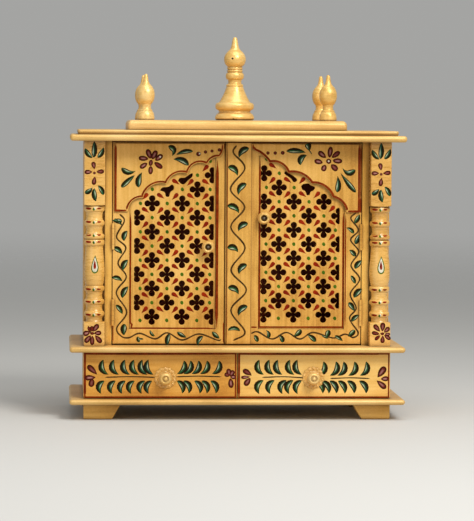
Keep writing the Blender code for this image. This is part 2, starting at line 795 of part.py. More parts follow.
def make_rose(name, x, z, material, parent):
    """Scalloped carved rose between a drawer front and its knob."""
    count = ROSE_SCALLOPS * 3
    thickness = ROSE_THICKNESS
    rings = [
        rose_outline(ROSE_RADIUS, 0.0, count),
        rose_outline(ROSE_RADIUS, thickness * 0.55, count),
        rose_outline(ROSE_RADIUS * 0.86, thickness, count),
    ]
    add_piece(name, loft(rings), (x, BODY_FRONT - JOINT_GAP, z), material, parent)


def make_drawer(side, gold, bare, accent):
    """One drawer: overlay front, four-sided box, rose and knob."""
    word = side_name(side)
    centre_x = side * (BODY_HALF_WIDTH / 2)
    slide = add_axis(f"{word}_drawer_slide", (centre_x, BODY_FRONT, BASE_TOP))
    front_range = mirrored_range(side, DRAWER_FRONT_SIDE_GAP, BODY_HALF_WIDTH)
    front_levels = (BASE_TOP + DRAWER_FRONT_END_GAP, WAIST_BOTTOM - DRAWER_FRONT_END_GAP)
    front_depth = (BODY_FRONT, DRAWER_FRONT_BACK)
    board(f"{word}_drawer_front", front_range, front_depth, front_levels, gold, slide)
    near = BOARD / 2 + DRAWER_SIDE_CLEARANCE
    far = INNER_HALF_WIDTH - DRAWER_SIDE_CLEARANCE
    box_front = DRAWER_FRONT_BACK + JOINT_GAP
    box_back = box_front + DRAWER_BOX_DEPTH
    bottom = BASE_TOP + DRAWER_RUNNING_GAP
    levels = (bottom, bottom + DRAWER_WALL_HEIGHT)
    walls = (
        ("inner", near, near + DRAWER_WALL),
        ("outer", far - DRAWER_WALL, far),
    )
    for place, low, high in walls:
        wall_range = mirrored_range(side, low, high)
        wall_depth = (box_front, box_back)
        board(f"{word}_drawer_{place}_wall", wall_range, wall_depth, levels, bare, slide)
    between = mirrored_range(side, near + DRAWER_WALL + JOINT_GAP, far - DRAWER_WALL - JOINT_GAP)
    back_depth = (box_back - DRAWER_WALL, box_back)
    board(f"{word}_drawer_back", between, back_depth, levels, bare, slide)
    floor = bottom + DRAWER_BOTTOM_RAISE
    floor_levels = (floor, floor + DRAWER_BOTTOM_THICKNESS)
    floor_depth = (box_front, box_back - DRAWER_WALL - JOINT_GAP)
    board(f"{word}_drawer_bottom", between, floor_depth, floor_levels, bare, slide)
    knob_x, knob_z = LEFT_DRAWER_KNOB if side == LEFT else RIGHT_DRAWER_KNOB
    make_rose(f"{word}_drawer_rose", knob_x, knob_z, accent, slide)
    seat = BODY_FRONT - JOINT_GAP - ROSE_THICKNESS
    make_knob(f"{word}_drawer_knob", knob_x, seat, knob_z, accent, slide)


def main():
    """Build the whole cabinet."""
    clear_scene()
    gold = paint("gold_paint", (0.730, 0.392, 0.080), 0.38, 0.15)
    bright = paint("bright_gold_paint", (0.790, 0.460, 0.130), 0.34, 0.20)
    bare = paint("drawer_wood", (0.520, 0.300, 0.120), 0.62, 0.0)
    steel = paint("painted_hinge_steel", (0.800, 0.560, 0.260), 0.42, 0.30)
    make_slabs(gold)
    make_feet(gold)
    make_drawer_case(gold)
    make_room(gold)
    make_columns(gold)
    make_finials(bright)
    make_hinges(steel)
    for side in (LEFT, RIGHT):
        make_door(side, gold, bright)
        make_drawer(side, gold, bare, bright)


main()
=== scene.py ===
"""Looks of the household altar cabinet: a hand-painted wooden home temple.

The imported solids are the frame. Each sub-assembly below builds its finer
surfaces around them and paints them: slabs and feet, corner columns, finials,
hinges, two lattice doors and two drawers. The painted leaves, vines, flowers
and lines are thin domed touches of enamel that lie on the boards.

Metres, +X to the viewer's right, -Y to the front, +Z up.
"""

import logging
import math
from dataclasses import dataclass, replace
from enum import Enum
from functools import partial
from typing import Callable, Sequence

import bmesh
import bpy
import numpy as np
from mathutils import Matrix, Vector
from mathutils.geometry import delaunay_2d_cdt


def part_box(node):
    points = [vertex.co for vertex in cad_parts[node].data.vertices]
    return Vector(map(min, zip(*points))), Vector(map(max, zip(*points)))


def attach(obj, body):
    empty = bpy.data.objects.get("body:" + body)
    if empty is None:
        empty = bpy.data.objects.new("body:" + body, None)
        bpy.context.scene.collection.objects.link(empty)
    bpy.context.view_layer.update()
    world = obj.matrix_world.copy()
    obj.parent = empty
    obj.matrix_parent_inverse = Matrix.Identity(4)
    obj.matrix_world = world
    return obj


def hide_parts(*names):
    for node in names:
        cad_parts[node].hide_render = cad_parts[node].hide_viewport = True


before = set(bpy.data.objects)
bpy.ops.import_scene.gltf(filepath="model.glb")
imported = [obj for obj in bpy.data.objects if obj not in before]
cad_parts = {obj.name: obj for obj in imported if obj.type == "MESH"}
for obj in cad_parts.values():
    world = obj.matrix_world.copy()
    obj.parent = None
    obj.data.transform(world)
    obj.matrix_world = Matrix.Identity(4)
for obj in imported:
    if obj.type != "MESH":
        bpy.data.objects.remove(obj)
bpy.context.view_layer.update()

LOG = logging.getLogger("altar_cabinet")
MM = 0.001
TINY = 1e-9
WELD = 1e-6
LEAF_LIFT = 0.22
VINE_LIFT = 0.18
LINE_LIFT = 0.14

Colour = tuple[float, float, float]
Shades = tuple[Colour, Colour, Colour]
Spot = tuple[float, float]
Place = tuple[float, float, float]
Cell = tuple[int, int]
Runs = Sequence[Sequence[Spot]]
Array = np.ndarray
Ground = Callable[[Array, Array], Array]
Outline = Callable[[float], Array]
Piece = bpy.types.Object
Material = bpy.types.Material
Socket = bpy.types.NodeSocket
Value = Socket | float | Sequence[float]


class Side(Enum):
    """Side of the cabinet as the viewer sees it."""

    LEFT = -1
    RIGHT = 1

    @property
    def word(self) -> str:
        """Name of the side in the solids' names."""
        return self.name.lower()


class Row(Enum):
    """Row of the feet or of the small finials."""

    FRONT = "front"
    BACK = "back"


class Level(Enum):
    """Height of a hinge on its door."""

    LOWER = "lower"
    UPPER = "upper"


class Body(Enum):
    """Bodies that pieces ride on: the cabinet and what moves on it."""

    CABINET = "cabinet"
    LEFT_DOOR = "left_door"
    RIGHT_DOOR = "right_door"
    LEFT_DRAWER = "left_drawer"
    RIGHT_DRAWER = "right_drawer"


class Slot(Enum):
    """Material slots of the model, handed to each painted piece's finish, which does not use them."""

    GOLD = "gold_paint"
    BRIGHT = "bright_gold_paint"
    HINGE = "painted_hinge_steel"
    LEAF = "leaf_paint"
    MAROON = "maroon_paint"
    LINE = "line_paint"


class Brushing(Enum):
    """Way that the brush was drawn, as noise scales along X, Y and Z."""

    LEVEL = (10.0, 120.0, 210.0)
    UPRIGHT = (210.0, 120.0, 10.0)
    ROUND = (60.0, 60.0, 260.0)


# Curves and meshes


def smooth_curve(points: Sequence[Sequence[float]], steps: int) -> Array:
    """Draw a smooth curve through points.

    Between two points it is the cubic whose slope at each end is half the way
    between that end's neighbours.

    Args:
        points: Places that the curve passes, in order.
        steps: Stretches between two of them.

    Returns:
        Array of places along the curve.
    """
    known = np.asarray(points, float)
    padded = np.vstack([2 * known[0] - known[1], known, 2 * known[-1] - known[-2]])
    a, b, c, d = (padded[i:len(padded) - 3 + i, None, :] for i in range(4))
    t = np.linspace(0.0, 1.0, steps, endpoint=False)[None, :, None]
    bend = (2 * a - 5 * b + 4 * c - d) * t ** 2 + (3 * b - a - 3 * c + d) * t ** 3
    curve = 0.5 * (2 * b + (c - a) * t + bend)
    return np.vstack([curve.reshape(-1, known.shape[1]), known[-1]])


def offsets(path: Array, closed: bool) -> Array:
    """Work out the step at each point that moves both its sides left by one.

    It is the sum of the two sides' left-hand normals, stretched until its part
    along each normal is one, and held below three.

    Args:
        path: Points of the path, one row each.
        closed: Whether the last point joins the first.

    Returns:
        One step for each point.
    """
    ahead = np.roll(path, -1, axis=0) - path
    if not closed:
        ahead[-1] = ahead[-2]
    behind = np.roll(ahead, 1, axis=0)
    if not closed:
        behind[0] = ahead[0]
    normals = []
    for way in (behind, ahead):
        length = np.maximum(np.linalg.norm(way, axis=1, keepdims=True), TINY)
        normals.append(np.stack([-way[:, 1], way[:, 0]], axis=1) / length)
    total = normals[0] + normals[1]
    square = np.maximum((total ** 2).sum(axis=1, keepdims=True), 1e-6)
    most = 3.0
    return total * np.minimum(2.0 / square, most)


def signed_area(loop: Array) -> float:
    """Area inside a closed loop, positive where it runs counter-clockwise."""
    after = np.roll(loop, -1, axis=0)
    return 0.5 * float((loop[:, 0] * after[:, 1] - loop[:, 1] * after[:, 0]).sum())


def full_turn(steps: int) -> Array:
    """Angles of a full turn in even steps."""
    return np.linspace(0.0, math.tau, steps, endpoint=False)


def turn_round(profile: Array, angles: Array) -> Array:
    """Turn a profile about the upright axis.

    x is radius times cosine, y is radius times sine, z is the height.

    Args:
        profile: Rows of (radius, height).
        angles: Angle of each column.

    Returns:
        Grid of points, one row for each row of the profile.
    """
    radius, height = profile[:, :1], profile[:, 1:]
    along = np.broadcast_to(height, (len(profile), len(angles)))
    return np.stack([radius * np.cos(angles), radius * np.sin(angles), along], axis=-1)


def turned_runs(runs: Runs, steps: int, sides: int) -> Array:
    """Grid of smooth runs of (radius, height) in mm that meet in creases, turned round."""
    profile = np.maximum(np.vstack([smooth_curve(run, steps) for run in runs]) * MM, 0.0)
    return turn_round(profile, full_turn(sides))


def face_front(points: Array) -> Array:
    """Tip points that stand along +Z forward, until they point to the front."""
    x, y, z = points[..., 0], points[..., 1], points[..., 2]
    return np.stack([x, -z, y], axis=-1)


class Shell:
    """Patches of surface that are gathered into one closed mesh."""

    def __init__(self) -> None:
        """Start without any patch."""
        self.points: list[Array] = []
        self.faces: list[list[int]] = []
        self.uvs: list[Array] = []
        self.tints: list[Array] = []
        self.count = 0

    def grid(
        self, points: Array, uv: Array | None = None, tint: float = 0.5, closed: bool = False
    ) -> Array:
        """Skin a grid, whose last column joins the first, with four-sided faces.

        Args:
            points: Array of rows by columns by three.
            uv: Pattern place of each point, rows by columns by two, or none.
            tint: Shade number of the patch.
            closed: Whether the last row joins the first.

        Returns:
            Index of each point, rows by columns.
        """
        rows, columns = points.shape[:2]
        count = rows * columns
        index = self.count + np.arange(count).reshape(rows, columns)
        self.count += count
        self.points.append(points.reshape(-1, 3))
        self.uvs.append(np.full((count, 2), 0.5) if uv is None else uv.reshape(-1, 2))
        self.tints.append(np.full(count, tint, float))
        net = np.hstack([index, index[:, :1]])
        if closed:
            net = np.vstack([net, net[:1]])
        corners = (net[:-1, :-1], net[:-1, 1:], net[1:, 1:], net[1:, :-1])
        self.faces += np.stack(corners, axis=-1).reshape(-1, 4).tolist()
        return index

    def cap(self, ring: Array) -> None:
        """Close a flat ring of points with one face."""
        self.faces.append(ring.tolist())

    def drum(self, points: Array) -> None:
        """Skin a grid of points and close its first and last rows."""
        index = self.grid(points)
        self.faces += [index[0].tolist(), index[-1].tolist()]

    def fill(self, rings: Sequence[Array], flat: Sequence[Array]) -> None:
        """Close the flat area between rings of points.

        The points are joined into triangles that follow the rings. A triangle is
        kept where a level line from its middle crosses the rings an odd number
        of times, which is inside the outer ring and outside the holes.

        Args:
            rings: Indices of the points of each ring.
            flat: The same rings as places on the plane, in metres.
        """
        names = np.concatenate(rings)
        spots = np.concatenate(flat) / MM
        after = np.concatenate([np.roll(loop, -1, axis=0) for loop in flat]) / MM
        order = np.split(np.arange(len(spots)), np.cumsum([len(loop) for loop in flat])[:-1])
        following = np.concatenate([np.roll(part, -1) for part in order])
        edges = np.stack([np.arange(len(spots)), following], axis=1).tolist()
        found = delaunay_2d_cdt([Vector(spot) for spot in spots.tolist()], edges, [], 0, 1e-7)
        triangles = np.array(found[2])
        middle = np.array([tuple(spot) for spot in found[0]])[triangles].mean(axis=1)
        low, high = spots[None, :, 1] > middle[:, 1:], after[None, :, 1] > middle[:, 1:]
        rise = np.where(after[:, 1] == spots[:, 1], 1.0, after[:, 1] - spots[:, 1])
        share = (middle[:, 1:] - spots[None, :, 1]) / rise
        crossing = spots[None, :, 0] + share * (after[:, 0] - spots[:, 0]) > middle[:, :1]
        inside = ((low != high) & crossing).sum(axis=1) % 2 == 1
        origin = names[[origins[0] for origins in found[3]]]
        self.faces += origin[triangles[inside]].tolist()

    def build(self, name: str, sharp_degrees: float = 35.0) -> Piece:
        """Make the object, merge doubled points and turn all faces outwards.

        Args:
            name: Name of the object.
            sharp_degrees: Fold from which an edge stays crisp.

        Returns:
            The new object.
        """
        mesh = bpy.data.meshes.new(name)
        mesh.from_pydata(np.concatenate(self.points).tolist(), [], self.faces)
        corners = np.empty(len(mesh.loops), np.int32)
        mesh.loops.foreach_get("vertex_index", corners)
        layer = mesh.uv_layers.new(name="UVMap")
        layer.data.foreach_set("uv", np.concatenate(self.uvs)[corners].ravel())
        tint = mesh.attributes.new("tint", "FLOAT", "POINT")
        tint.data.foreach_set("value", np.concatenate(self.tints))
        bm = bmesh.new()
        bm.from_mesh(mesh)
        bmesh.ops.remove_doubles(bm, verts=bm.verts, dist=WELD)
        bmesh.ops.recalc_face_normals(bm, faces=bm.faces)
        bm.to_mesh(mesh)
        bm.free()
        mesh.shade_smooth()
        mesh.set_sharp_from_angle(angle=math.radians(sharp_degrees))
        return placed(name, mesh)


def placed(name: str, data: bpy.types.ID) -> Piece:
    """Put a new object into the scene.

    Args:
        name: Name of the object.
        data: Its mesh, light or camera.

    Returns:
        The new object.
    """
    obj = bpy.data.objects.new(name, data)
    bpy.context.scene.collection.objects.link(obj)
    return obj


def soft_board(name: str, low: Sequence[float], high: Sequence[float], rounding: float) -> Piece:
    """Make a board with eased edges.

    Args:
        name: Name of the object.
        low: Its corner with the least X, Y and Z.
        high: Its opposite corner.
        rounding: Radius of its edges.

    Returns:
        The new object.
    """
    bm = bmesh.new()
    bmesh.ops.create_cube(bm, size=1.0)
    size = [b - a for a, b in zip(low, high)]
    centre = [(a + b) / 2 for a, b in zip(low, high)]
    bmesh.ops.scale(bm, vec=size, verts=bm.verts)
    bmesh.ops.translate(bm, vec=centre, verts=bm.verts)
    mesh = bpy.data.meshes.new(name)
    bm.to_mesh(mesh)
    bm.free()
    mesh.shade_smooth()
    obj = placed(name, mesh)
    ease(obj, rounding)
    return obj


def ease(obj: Piece, rounding: float) -> None:
    """Round the crisp edges of a piece with a live bevel.

    Args:
        obj: The piece.
        rounding: Width of the bevel.
    """
    bevel = obj.modifiers.new("eased_edges", "BEVEL")
    bevel.width = rounding
    bevel.segments = 3
    bevel.limit_method = "ANGLE"
    bevel.angle_limit = math.radians(30)
    bevel.harden_normals = True


def seat_of(node: str) -> Array:
    """Middle of a solid's back face, where it sits on its board."""
    low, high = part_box(node)
    return np.array([(low.x + high.x) / 2, high.y, (low.z + high.z) / 2])


def rectangle(low: Spot, high: Spot) -> Array:
    """Corners of an upright rectangle."""
    return np.array([(low[0], low[1]), (high[0], low[1]), (high[0], high[1]), (low[0], high[1])])


def drawn_in(loop: Array, hole: bool = False) -> Outline:
    """Let a loop move into its board.

    Args:
        loop: Corners of the loop in X and Z.
        hole: Whether it bounds a hole, so that the board is outside it.

    Returns:
        Function that gives the loop for a way into the board.
    """
    if (signed_area(loop) > 0) == hole:
        loop = loop[::-1]
    step = offsets(loop, True)
    return lambda inset: loop + step * inset


def cut_plate(
    name: str, outlines: Sequence[Outline], front: float, thickness: float, rounding: float
) -> Piece:
    """Make a flat board of any outline, with holes and a rounded front edge.

    The edge is carried along each outline as a quarter circle that starts at
    the outline and ends on the front face.

    Args:
        name: Name of the object.
        outlines: Outer outline and the holes, in X and Z, for a way into the board.
        front: Depth of the front face.
        thickness: Depth of the board.
        rounding: Radius of the front edge.

    Returns:
        The new object.
    """
    flat_rim = 1.6 * rounding
    bends = np.linspace(0.0, math.pi / 2, 4)
    section = [(0.0, front + thickness)]
    section += [(rounding * (1 - math.cos(a)), front + rounding * (1 - math.sin(a))) for a in bends]
    section.append((flat_rim, front))
    shell = Shell()
    back_rings, back_flat, front_rings, front_flat = [], [], [], []
    for outline in outlines:
        rings = [outline(inset) for inset, _ in section]
        rows = [
            np.stack([ring[:, 0], np.full(len(ring), depth), ring[:, 1]], axis=1)
            for ring, (_, depth) in zip(rings, section)
        ]
        index = shell.grid(np.stack(rows))
        back_rings.append(index[0])
        back_flat.append(rings[0])
        front_rings.append(index[-1])
        front_flat.append(rings[-1])
    shell.fill(back_rings, back_flat)
    shell.fill(front_rings, front_flat)
    return shell.build(name)


def rounded_rectangle(half: float, front: float, back: float, radius: float, steps: int) -> Array:
    """Draw a rectangle whose corners are quarter circles.

    Args:
        half: Half of its width, about X = 0.
        front: Y of its front side.
        back: Y of its back side.
        radius: Radius of its corners.
        steps: Stretches of each corner.

    Returns:
        Points of the outline in X and Y.
    """
    quarter = np.linspace(0.0, math.pi / 2, steps + 1)
    corners = (
        (half - radius, back - radius, 0.0),
        (-half + radius, back - radius, math.pi / 2),
        (-half + radius, front + radius, math.pi),
        (half - radius, front + radius, 1.5 * math.pi),
    )
    arcs = []
    for x, y, turn in corners:
        angle = quarter + turn
        arcs.append(np.stack([x + radius * np.cos(angle), y + radius * np.sin(angle)], axis=1))
    return np.vstack(arcs)


# Paints


class NodeBook:
    """Shader nodes of one material, added by short calls."""

    def __init__(self, name: str) -> None:
        """Open a new material that has one plain shader.

        Args:
            name: Name of the material.
        """
        self.material = bpy.data.materials.new(name)
        self.material.use_nodes = True
        self.tree = self.material.node_tree
        self.shader = self.tree.nodes["Principled BSDF"]
        self.coordinates = self.tree.nodes.new("ShaderNodeTexCoord")

    def plug(self, value: Value, socket: Socket) -> None:
        """Give an input socket a link or a constant.

        Args:
            value: Output to link, number, vector or colour.
            socket: The input.
        """
        if isinstance(value, Socket):
            self.tree.links.new(value, socket)
        elif socket.type == "RGBA":
            socket.default_value = (*value, 1.0)
        else:
            socket.default_value = value

    def node(
        self, kind: str, inputs: dict[int | str, Value], output: int | str = 0, **settings: object
    ) -> Socket:
        """Add one shader node.

        Args:
            kind: Its type, as it stands after ShaderNode.
            inputs: Link or constant of each input, by number or name.
            output: Number or name of the output to hand back.
            settings: Its properties.

        Returns:
            The output.
        """
        node = self.tree.nodes.new(f"ShaderNode{kind}")
        for name, setting in settings.items():
            setattr(node, name, setting)
        for key, value in inputs.items():
            self.plug(value, node.inputs[key])
        return node.outputs[output]

    def set(self, name: str, value: Value) -> None:
        """Give one input of the shader a link or a constant."""
        self.plug(value, self.shader.inputs[name])

    def place(self) -> Socket:
        """Place on the object, in metres."""
        return self.coordinates.outputs["Object"]

    def pattern(self) -> tuple[Socket, Socket]:
        """Way along a touch of paint, and way across it, each from 0 to 1."""
        parts = self.node("SeparateXYZ", {0: self.coordinates.outputs["UV"]}).node
        return parts.outputs[0], parts.outputs[1]

    def axes(self) -> tuple[Socket, ...]:
        """The three parts of the place on the object."""
        return tuple(self.node("SeparateXYZ", {0: self.place()}).node.outputs)

    def tint(self) -> Socket:
        """Shade number of the touch that a point belongs to."""
        return self.node("Attribute", {}, "Fac", attribute_name="tint")

    def noise(self, scale: float, detail: float = 3.0, stretch: Place | None = None) -> Socket:
        """Add cloudy noise.

        Args:
            scale: Clouds to the metre.
            detail: Layers of finer clouds.
            stretch: Further scale along each axis, or none.

        Returns:
            Value from 0 to 1.
        """
        place = self.place()
        if stretch is not None:
            place = self.node("Mapping", {"Vector": place, "Scale": stretch})
        return self.node("TexNoise", {"Vector": place, "Scale": scale, "Detail": detail})

    def cells(self, scale: float) -> Socket:
        """Random value of each small cell, for metal flakes."""
        colour = self.node("TexVoronoi", {"Vector": self.place(), "Scale": scale}, "Color")
        return self.node("SeparateColor", {0: colour})

    def math(self, kind: str, a: Value, b: Value = 0.0, c: Value = 0.0) -> Socket:
        """One sum of up to three values."""
        return self.node("Math", {0: a, 1: b, 2: c}, operation=kind)

    def spread(
        self, value: Value, low: float, high: float, to_low: float = 0.0, to_high: float = 1.0
    ) -> Socket:
        """Carry a value softly from one range into another, held inside it."""
        inputs = {0: value, 1: low, 2: high, 3: to_low, 4: to_high}
        return self.node("MapRange", inputs, interpolation_type="SMOOTHSTEP")

    def ramp(self, value: Value, stops: Sequence[tuple[float, Colour]]) -> Socket:
        """Let a colour follow a value.

        Args:
            value: The value.
            stops: Two or more of (value, colour), the outer two first.

        Returns:
            The colour.
        """
        node = self.tree.nodes.new("ShaderNodeValToRGB")
        elements = node.color_ramp.elements
        for number, (position, colour) in enumerate(stops):
            element = elements[number] if number < 2 else elements.new(position)
            element.position = position
            element.color = (*colour, 1.0)
        self.plug(value, node.inputs[0])
        return node.outputs[0]

    def mix(self, share: Value, a: Value, b: Value) -> Socket:
        """Colour between two colours."""
        return self.node("Mix", {0: share, 6: a, 7: b}, 2, data_type="RGBA")

    def crevice(self, distance: float) -> Socket:
        """Openness of the surface: 1 in the open and less in a corner."""
        return self.node("AmbientOcclusion", {"Distance": distance}, "AO", samples=6)

    def bump(
        self, height: Socket, strength: float, distance: float, below: Socket | None = None
    ) -> Socket:
        """Normal that is tilted by a height, on top of another one."""
        inputs = {"Strength": strength, "Distance": distance, "Height": height}
        return self.node("Bump", inputs if below is None else {**inputs, "Normal": below})


@dataclass(frozen=True)
class RoomInside:
    """Box of the shrine room, whose walls have a red-brown paint."""

    half_width: float = 0.2677
    front: float = -0.0843
    back: float = 0.1467
    bottom: float = 0.1332
    top: float = 0.5062
    colour: Colour = (0.260, 0.040, 0.004)

    def share(self, book: NodeBook) -> Socket:
        """Tell the inside of the room from the rest.

        Args:
            book: Nodes of the material.

        Returns:
            1 inside the room and 0 outside it.
        """
        x, y, z = book.axes()
        inside = book.math("LESS_THAN", book.math("ABSOLUTE", x), self.half_width)
        for way, low, high in ((y, self.front, self.back), (z, self.bottom, self.top)):
            for kind, limit in (("GREATER_THAN", low), ("LESS_THAN", high)):
                inside = book.math("MULTIPLY", inside, book.math(kind, way, limit))
        return inside


@dataclass(frozen=True)
class GoldPaint:
    """Brushed gold paint: cloudy shades with flakes, painted shade in corners and a satin gloss."""

    name: str
    shades: Shades
    brushing: Brushing = Brushing.LEVEL
    roughness: float = 0.40
    metallic: float = 0.15
    specular: float = 0.35
    crevice_shade: float = 0.75
    crevice_shade_reach: float = 0.010
    crevice_shade_colour: Colour = (0.105, 0.036, 0.008)
    room: RoomInside | None = None

    def make(self) -> Material:
        """Mix the paint: broad clouds, brush marks and flakes choose its shade, and corners are
        darkened as painted shade.

        Returns:
            The material.
        """
        book = NodeBook(self.name)
        broad = book.noise(7.0, 4.0)
        strokes = book.noise(1.0, 2.0, self.brushing.value)
        flakes = book.cells(900.0)
        shade = book.math("MULTIPLY_ADD", broad, 0.62, book.math("MULTIPLY", strokes, 0.30))
        shade = book.math("MULTIPLY_ADD", flakes, 0.08, shade)
        shadow, middle, light = self.shades
        colour = book.ramp(shade, ((0.36, shadow), (0.64, light), (0.50, middle)))
        # Painted shade: where ambient occlusion finds a corner or crease, the colour is darkened
        # towards a brown.
        corner = book.spread(book.crevice(self.crevice_shade_reach), 0.97, 0.35, 0.0, self.crevice_shade)
        colour = book.mix(corner, colour, self.crevice_shade_colour)
        if self.room is not None:
            colour = book.mix(self.room.share(book), colour, self.room.colour)
        book.set("Base Color", colour)
        smooth, dull = self.roughness - 0.06, self.roughness + 0.08
        book.set("Roughness", book.spread(strokes, 0.25, 0.75, smooth, dull))
        book.set("Metallic", self.metallic)
        book.set("Specular IOR Level", self.specular)
        grain = book.bump(strokes, 0.22, 0.0005)
        book.set("Normal", book.bump(book.noise(420.0, 2.0), 0.10, 0.0004, grain))
        return book.material


@dataclass(frozen=True)
class BareWood:
    """Plain drawer wood with straight grain from front to back."""

    name: str = "drawer_box_wood"
    pale: Colour = (0.46, 0.27, 0.125)
    dark: Colour = (0.27, 0.13, 0.05)
    roughness: float = 0.62

    def make(self) -> Material:
        """Mix the finish.

        Returns:
            The material.
        """
        book = NodeBook(self.name)
        grain = book.noise(1.0, 5.0, (150.0, 7.0, 150.0))
        rings = book.noise(1.0, 2.0, (38.0, 2.5, 38.0))
        shade = book.math("MULTIPLY_ADD", grain, 0.55, book.math("MULTIPLY", rings, 0.45))
        book.set("Base Color", book.ramp(shade, ((0.38, self.dark), (0.62, self.pale))))
        book.set("Roughness", self.roughness)
        book.set("Normal", book.bump(grain, 0.25, 0.0005))
        return book.material


@dataclass(frozen=True)
class LeafPaint:
    """Leaf touch: nearly black outline round a green to blue body with a pale glint."""

    name: str = "leaf_enamel"
    outline: Colour = (0.015, 0.009, 0.001)
    green: Colour = (0.018, 0.108, 0.028)
    blue: Colour = (0.010, 0.074, 0.050)
    glint: Colour = (0.66, 0.70, 0.46)
    roughness: float = 0.34
    specular: float = 0.08

    def make(self) -> Material:
        """Mix the finish.

        Returns:
            The material.
        """
        book = NodeBook(self.name)
        along, across = book.pattern()
        cool = book.math("MULTIPLY_ADD", book.tint(), 0.80, book.math("MULTIPLY", along, 0.10))
        body = book.mix(cool, self.green, self.blue)
        body = book.mix(book.spread(book.noise(160.0, 2.0), 0.35, 0.7, 0.0, 0.5), body, self.outline)
        sideways = book.math("ABSOLUTE", book.math("MULTIPLY_ADD", across, 2.6, -0.72))
        lengthwise = book.math("ABSOLUTE", book.math("SUBTRACT", along, 0.42))
        spot = book.math("ADD", sideways, book.math("MULTIPLY", lengthwise, 1.2))
        body = book.mix(book.spread(spot, 0.44, 0.12, 0.0, 0.66), body, self.glint)
        convex = book.math("MULTIPLY_ADD", across, 2.0, -0.70)
        hollow = book.math("MULTIPLY_ADD", across, -2.0, 0.82)
        rim = book.math("MAXIMUM", convex, hollow)
        rim = book.math("MULTIPLY_ADD", book.noise(300.0, 1.0), 0.14, rim)
        colour = book.mix(book.spread(rim, 0.38, 0.64), body, self.outline)
        ends = book.math("ABSOLUTE", book.math("MULTIPLY_ADD", along, 2.0, -1.0))
        book.set("Base Color", book.mix(book.spread(ends, 0.70, 0.90), colour, self.outline))
        book.set("Specular IOR Level", self.specular)
        book.set("Roughness", self.roughness)
        return book.material


@dataclass(frozen=True)
class PetalPaint:
    """Petal touch: dark maroon with a dusty pink heart that varies from petal to petal."""

    name: str = "petal_enamel"
    outline: Colour = (0.040, 0.006, 0.001)
    body: Colour = (0.130, 0.013, 0.006)
    heart: Colour = (0.42, 0.21, 0.18)
    roughness: float = 0.36
    specular: float = 0.09

    def make(self) -> Material:
        """Mix the finish.

        Returns:
            The material.
        """
        book = NodeBook(self.name)
        along, across = book.pattern()
        rim = book.math("ABSOLUTE", book.math("MULTIPLY_ADD", across, 2.0, -1.0))
        ends = book.math("ABSOLUTE", book.math("MULTIPLY_ADD", along, 2.0, -1.0))
        reach = book.math("MAXIMUM", rim, ends)
        colour = book.mix(book.spread(reach, 0.36, 0.66), self.body, self.outline)
        spot = book.math("MULTIPLY", book.spread(reach, 0.44, 0.10), book.tint())
        book.set("Base Color", book.mix(spot, colour, self.heart))
        book.set("Specular IOR Level", self.specular)
        book.set("Roughness", self.roughness)
        return book.material


@dataclass(frozen=True)
class PlainPaint:
    """Single enamel colour with slightly uneven cover."""

    name: str
    thin: Colour
    thick: Colour
    roughness: float = 0.40
    specular: float = 0.08

    def make(self) -> Material:
        """Mix the finish.

        Returns:
            The material.
        """
        book = NodeBook(self.name)
        cover = book.spread(book.noise(110.0, 3.0), 0.30, 0.68)
        book.set("Base Color", book.mix(cover, self.thin, self.thick))
        book.set("Specular IOR Level", self.specular)
        book.set("Roughness", self.roughness)
        return book.material


@dataclass(frozen=True)
class StudioFloor:
    """Pale matt floor that thins out to nothing far from the cabinet."""

    name: str = "studio_floor"
    colour: Colour = (0.60, 0.60, 0.585)
    fade_start: float = 0.9
    fade_end: float = 9.0

    def make(self) -> Material:
        """Mix the floor's paint, whose cover falls off with the reach from the middle.

        Returns:
            The material.
        """
        book = NodeBook(self.name)
        x, y, _ = book.axes()
        reach = book.math("SQRT", book.math("MULTIPLY_ADD", x, x, book.math("MULTIPLY", y, y)))
        book.set("Base Color", self.colour)
        book.set("Roughness", 0.85)
        book.set("Specular IOR Level", 0.1)
        book.set("Alpha", book.spread(reach, self.fade_start, self.fade_end, 1.0, 0.0))
        return book.material


# Gold paints, each from its shadow over its middle to its light
OCHRE = ((0.500, 0.236, 0.036), (0.705, 0.382, 0.076), (0.825, 0.490, 0.132))
YELLOW = ((0.600, 0.310, 0.045), (0.770, 0.425, 0.078), (0.860, 0.530, 0.130))
PALE = ((0.620, 0.350, 0.080), (0.790, 0.490, 0.145), (0.890, 0.620, 0.250))
BROWN = ((0.500, 0.205, 0.025), (0.690, 0.330, 0.050), (0.800, 0.430, 0.090))
FAIR = ((0.640, 0.350, 0.075), (0.840, 0.490, 0.120), (0.920, 0.600, 0.190))
# Paler gold for the slabs and plank: painted sheen, standing in for the highlights on their rounded
# edges.
SHEEN_PALE_GOLD = ((0.500, 0.285, 0.075), (0.670, 0.410, 0.125), (0.790, 0.520, 0.200))


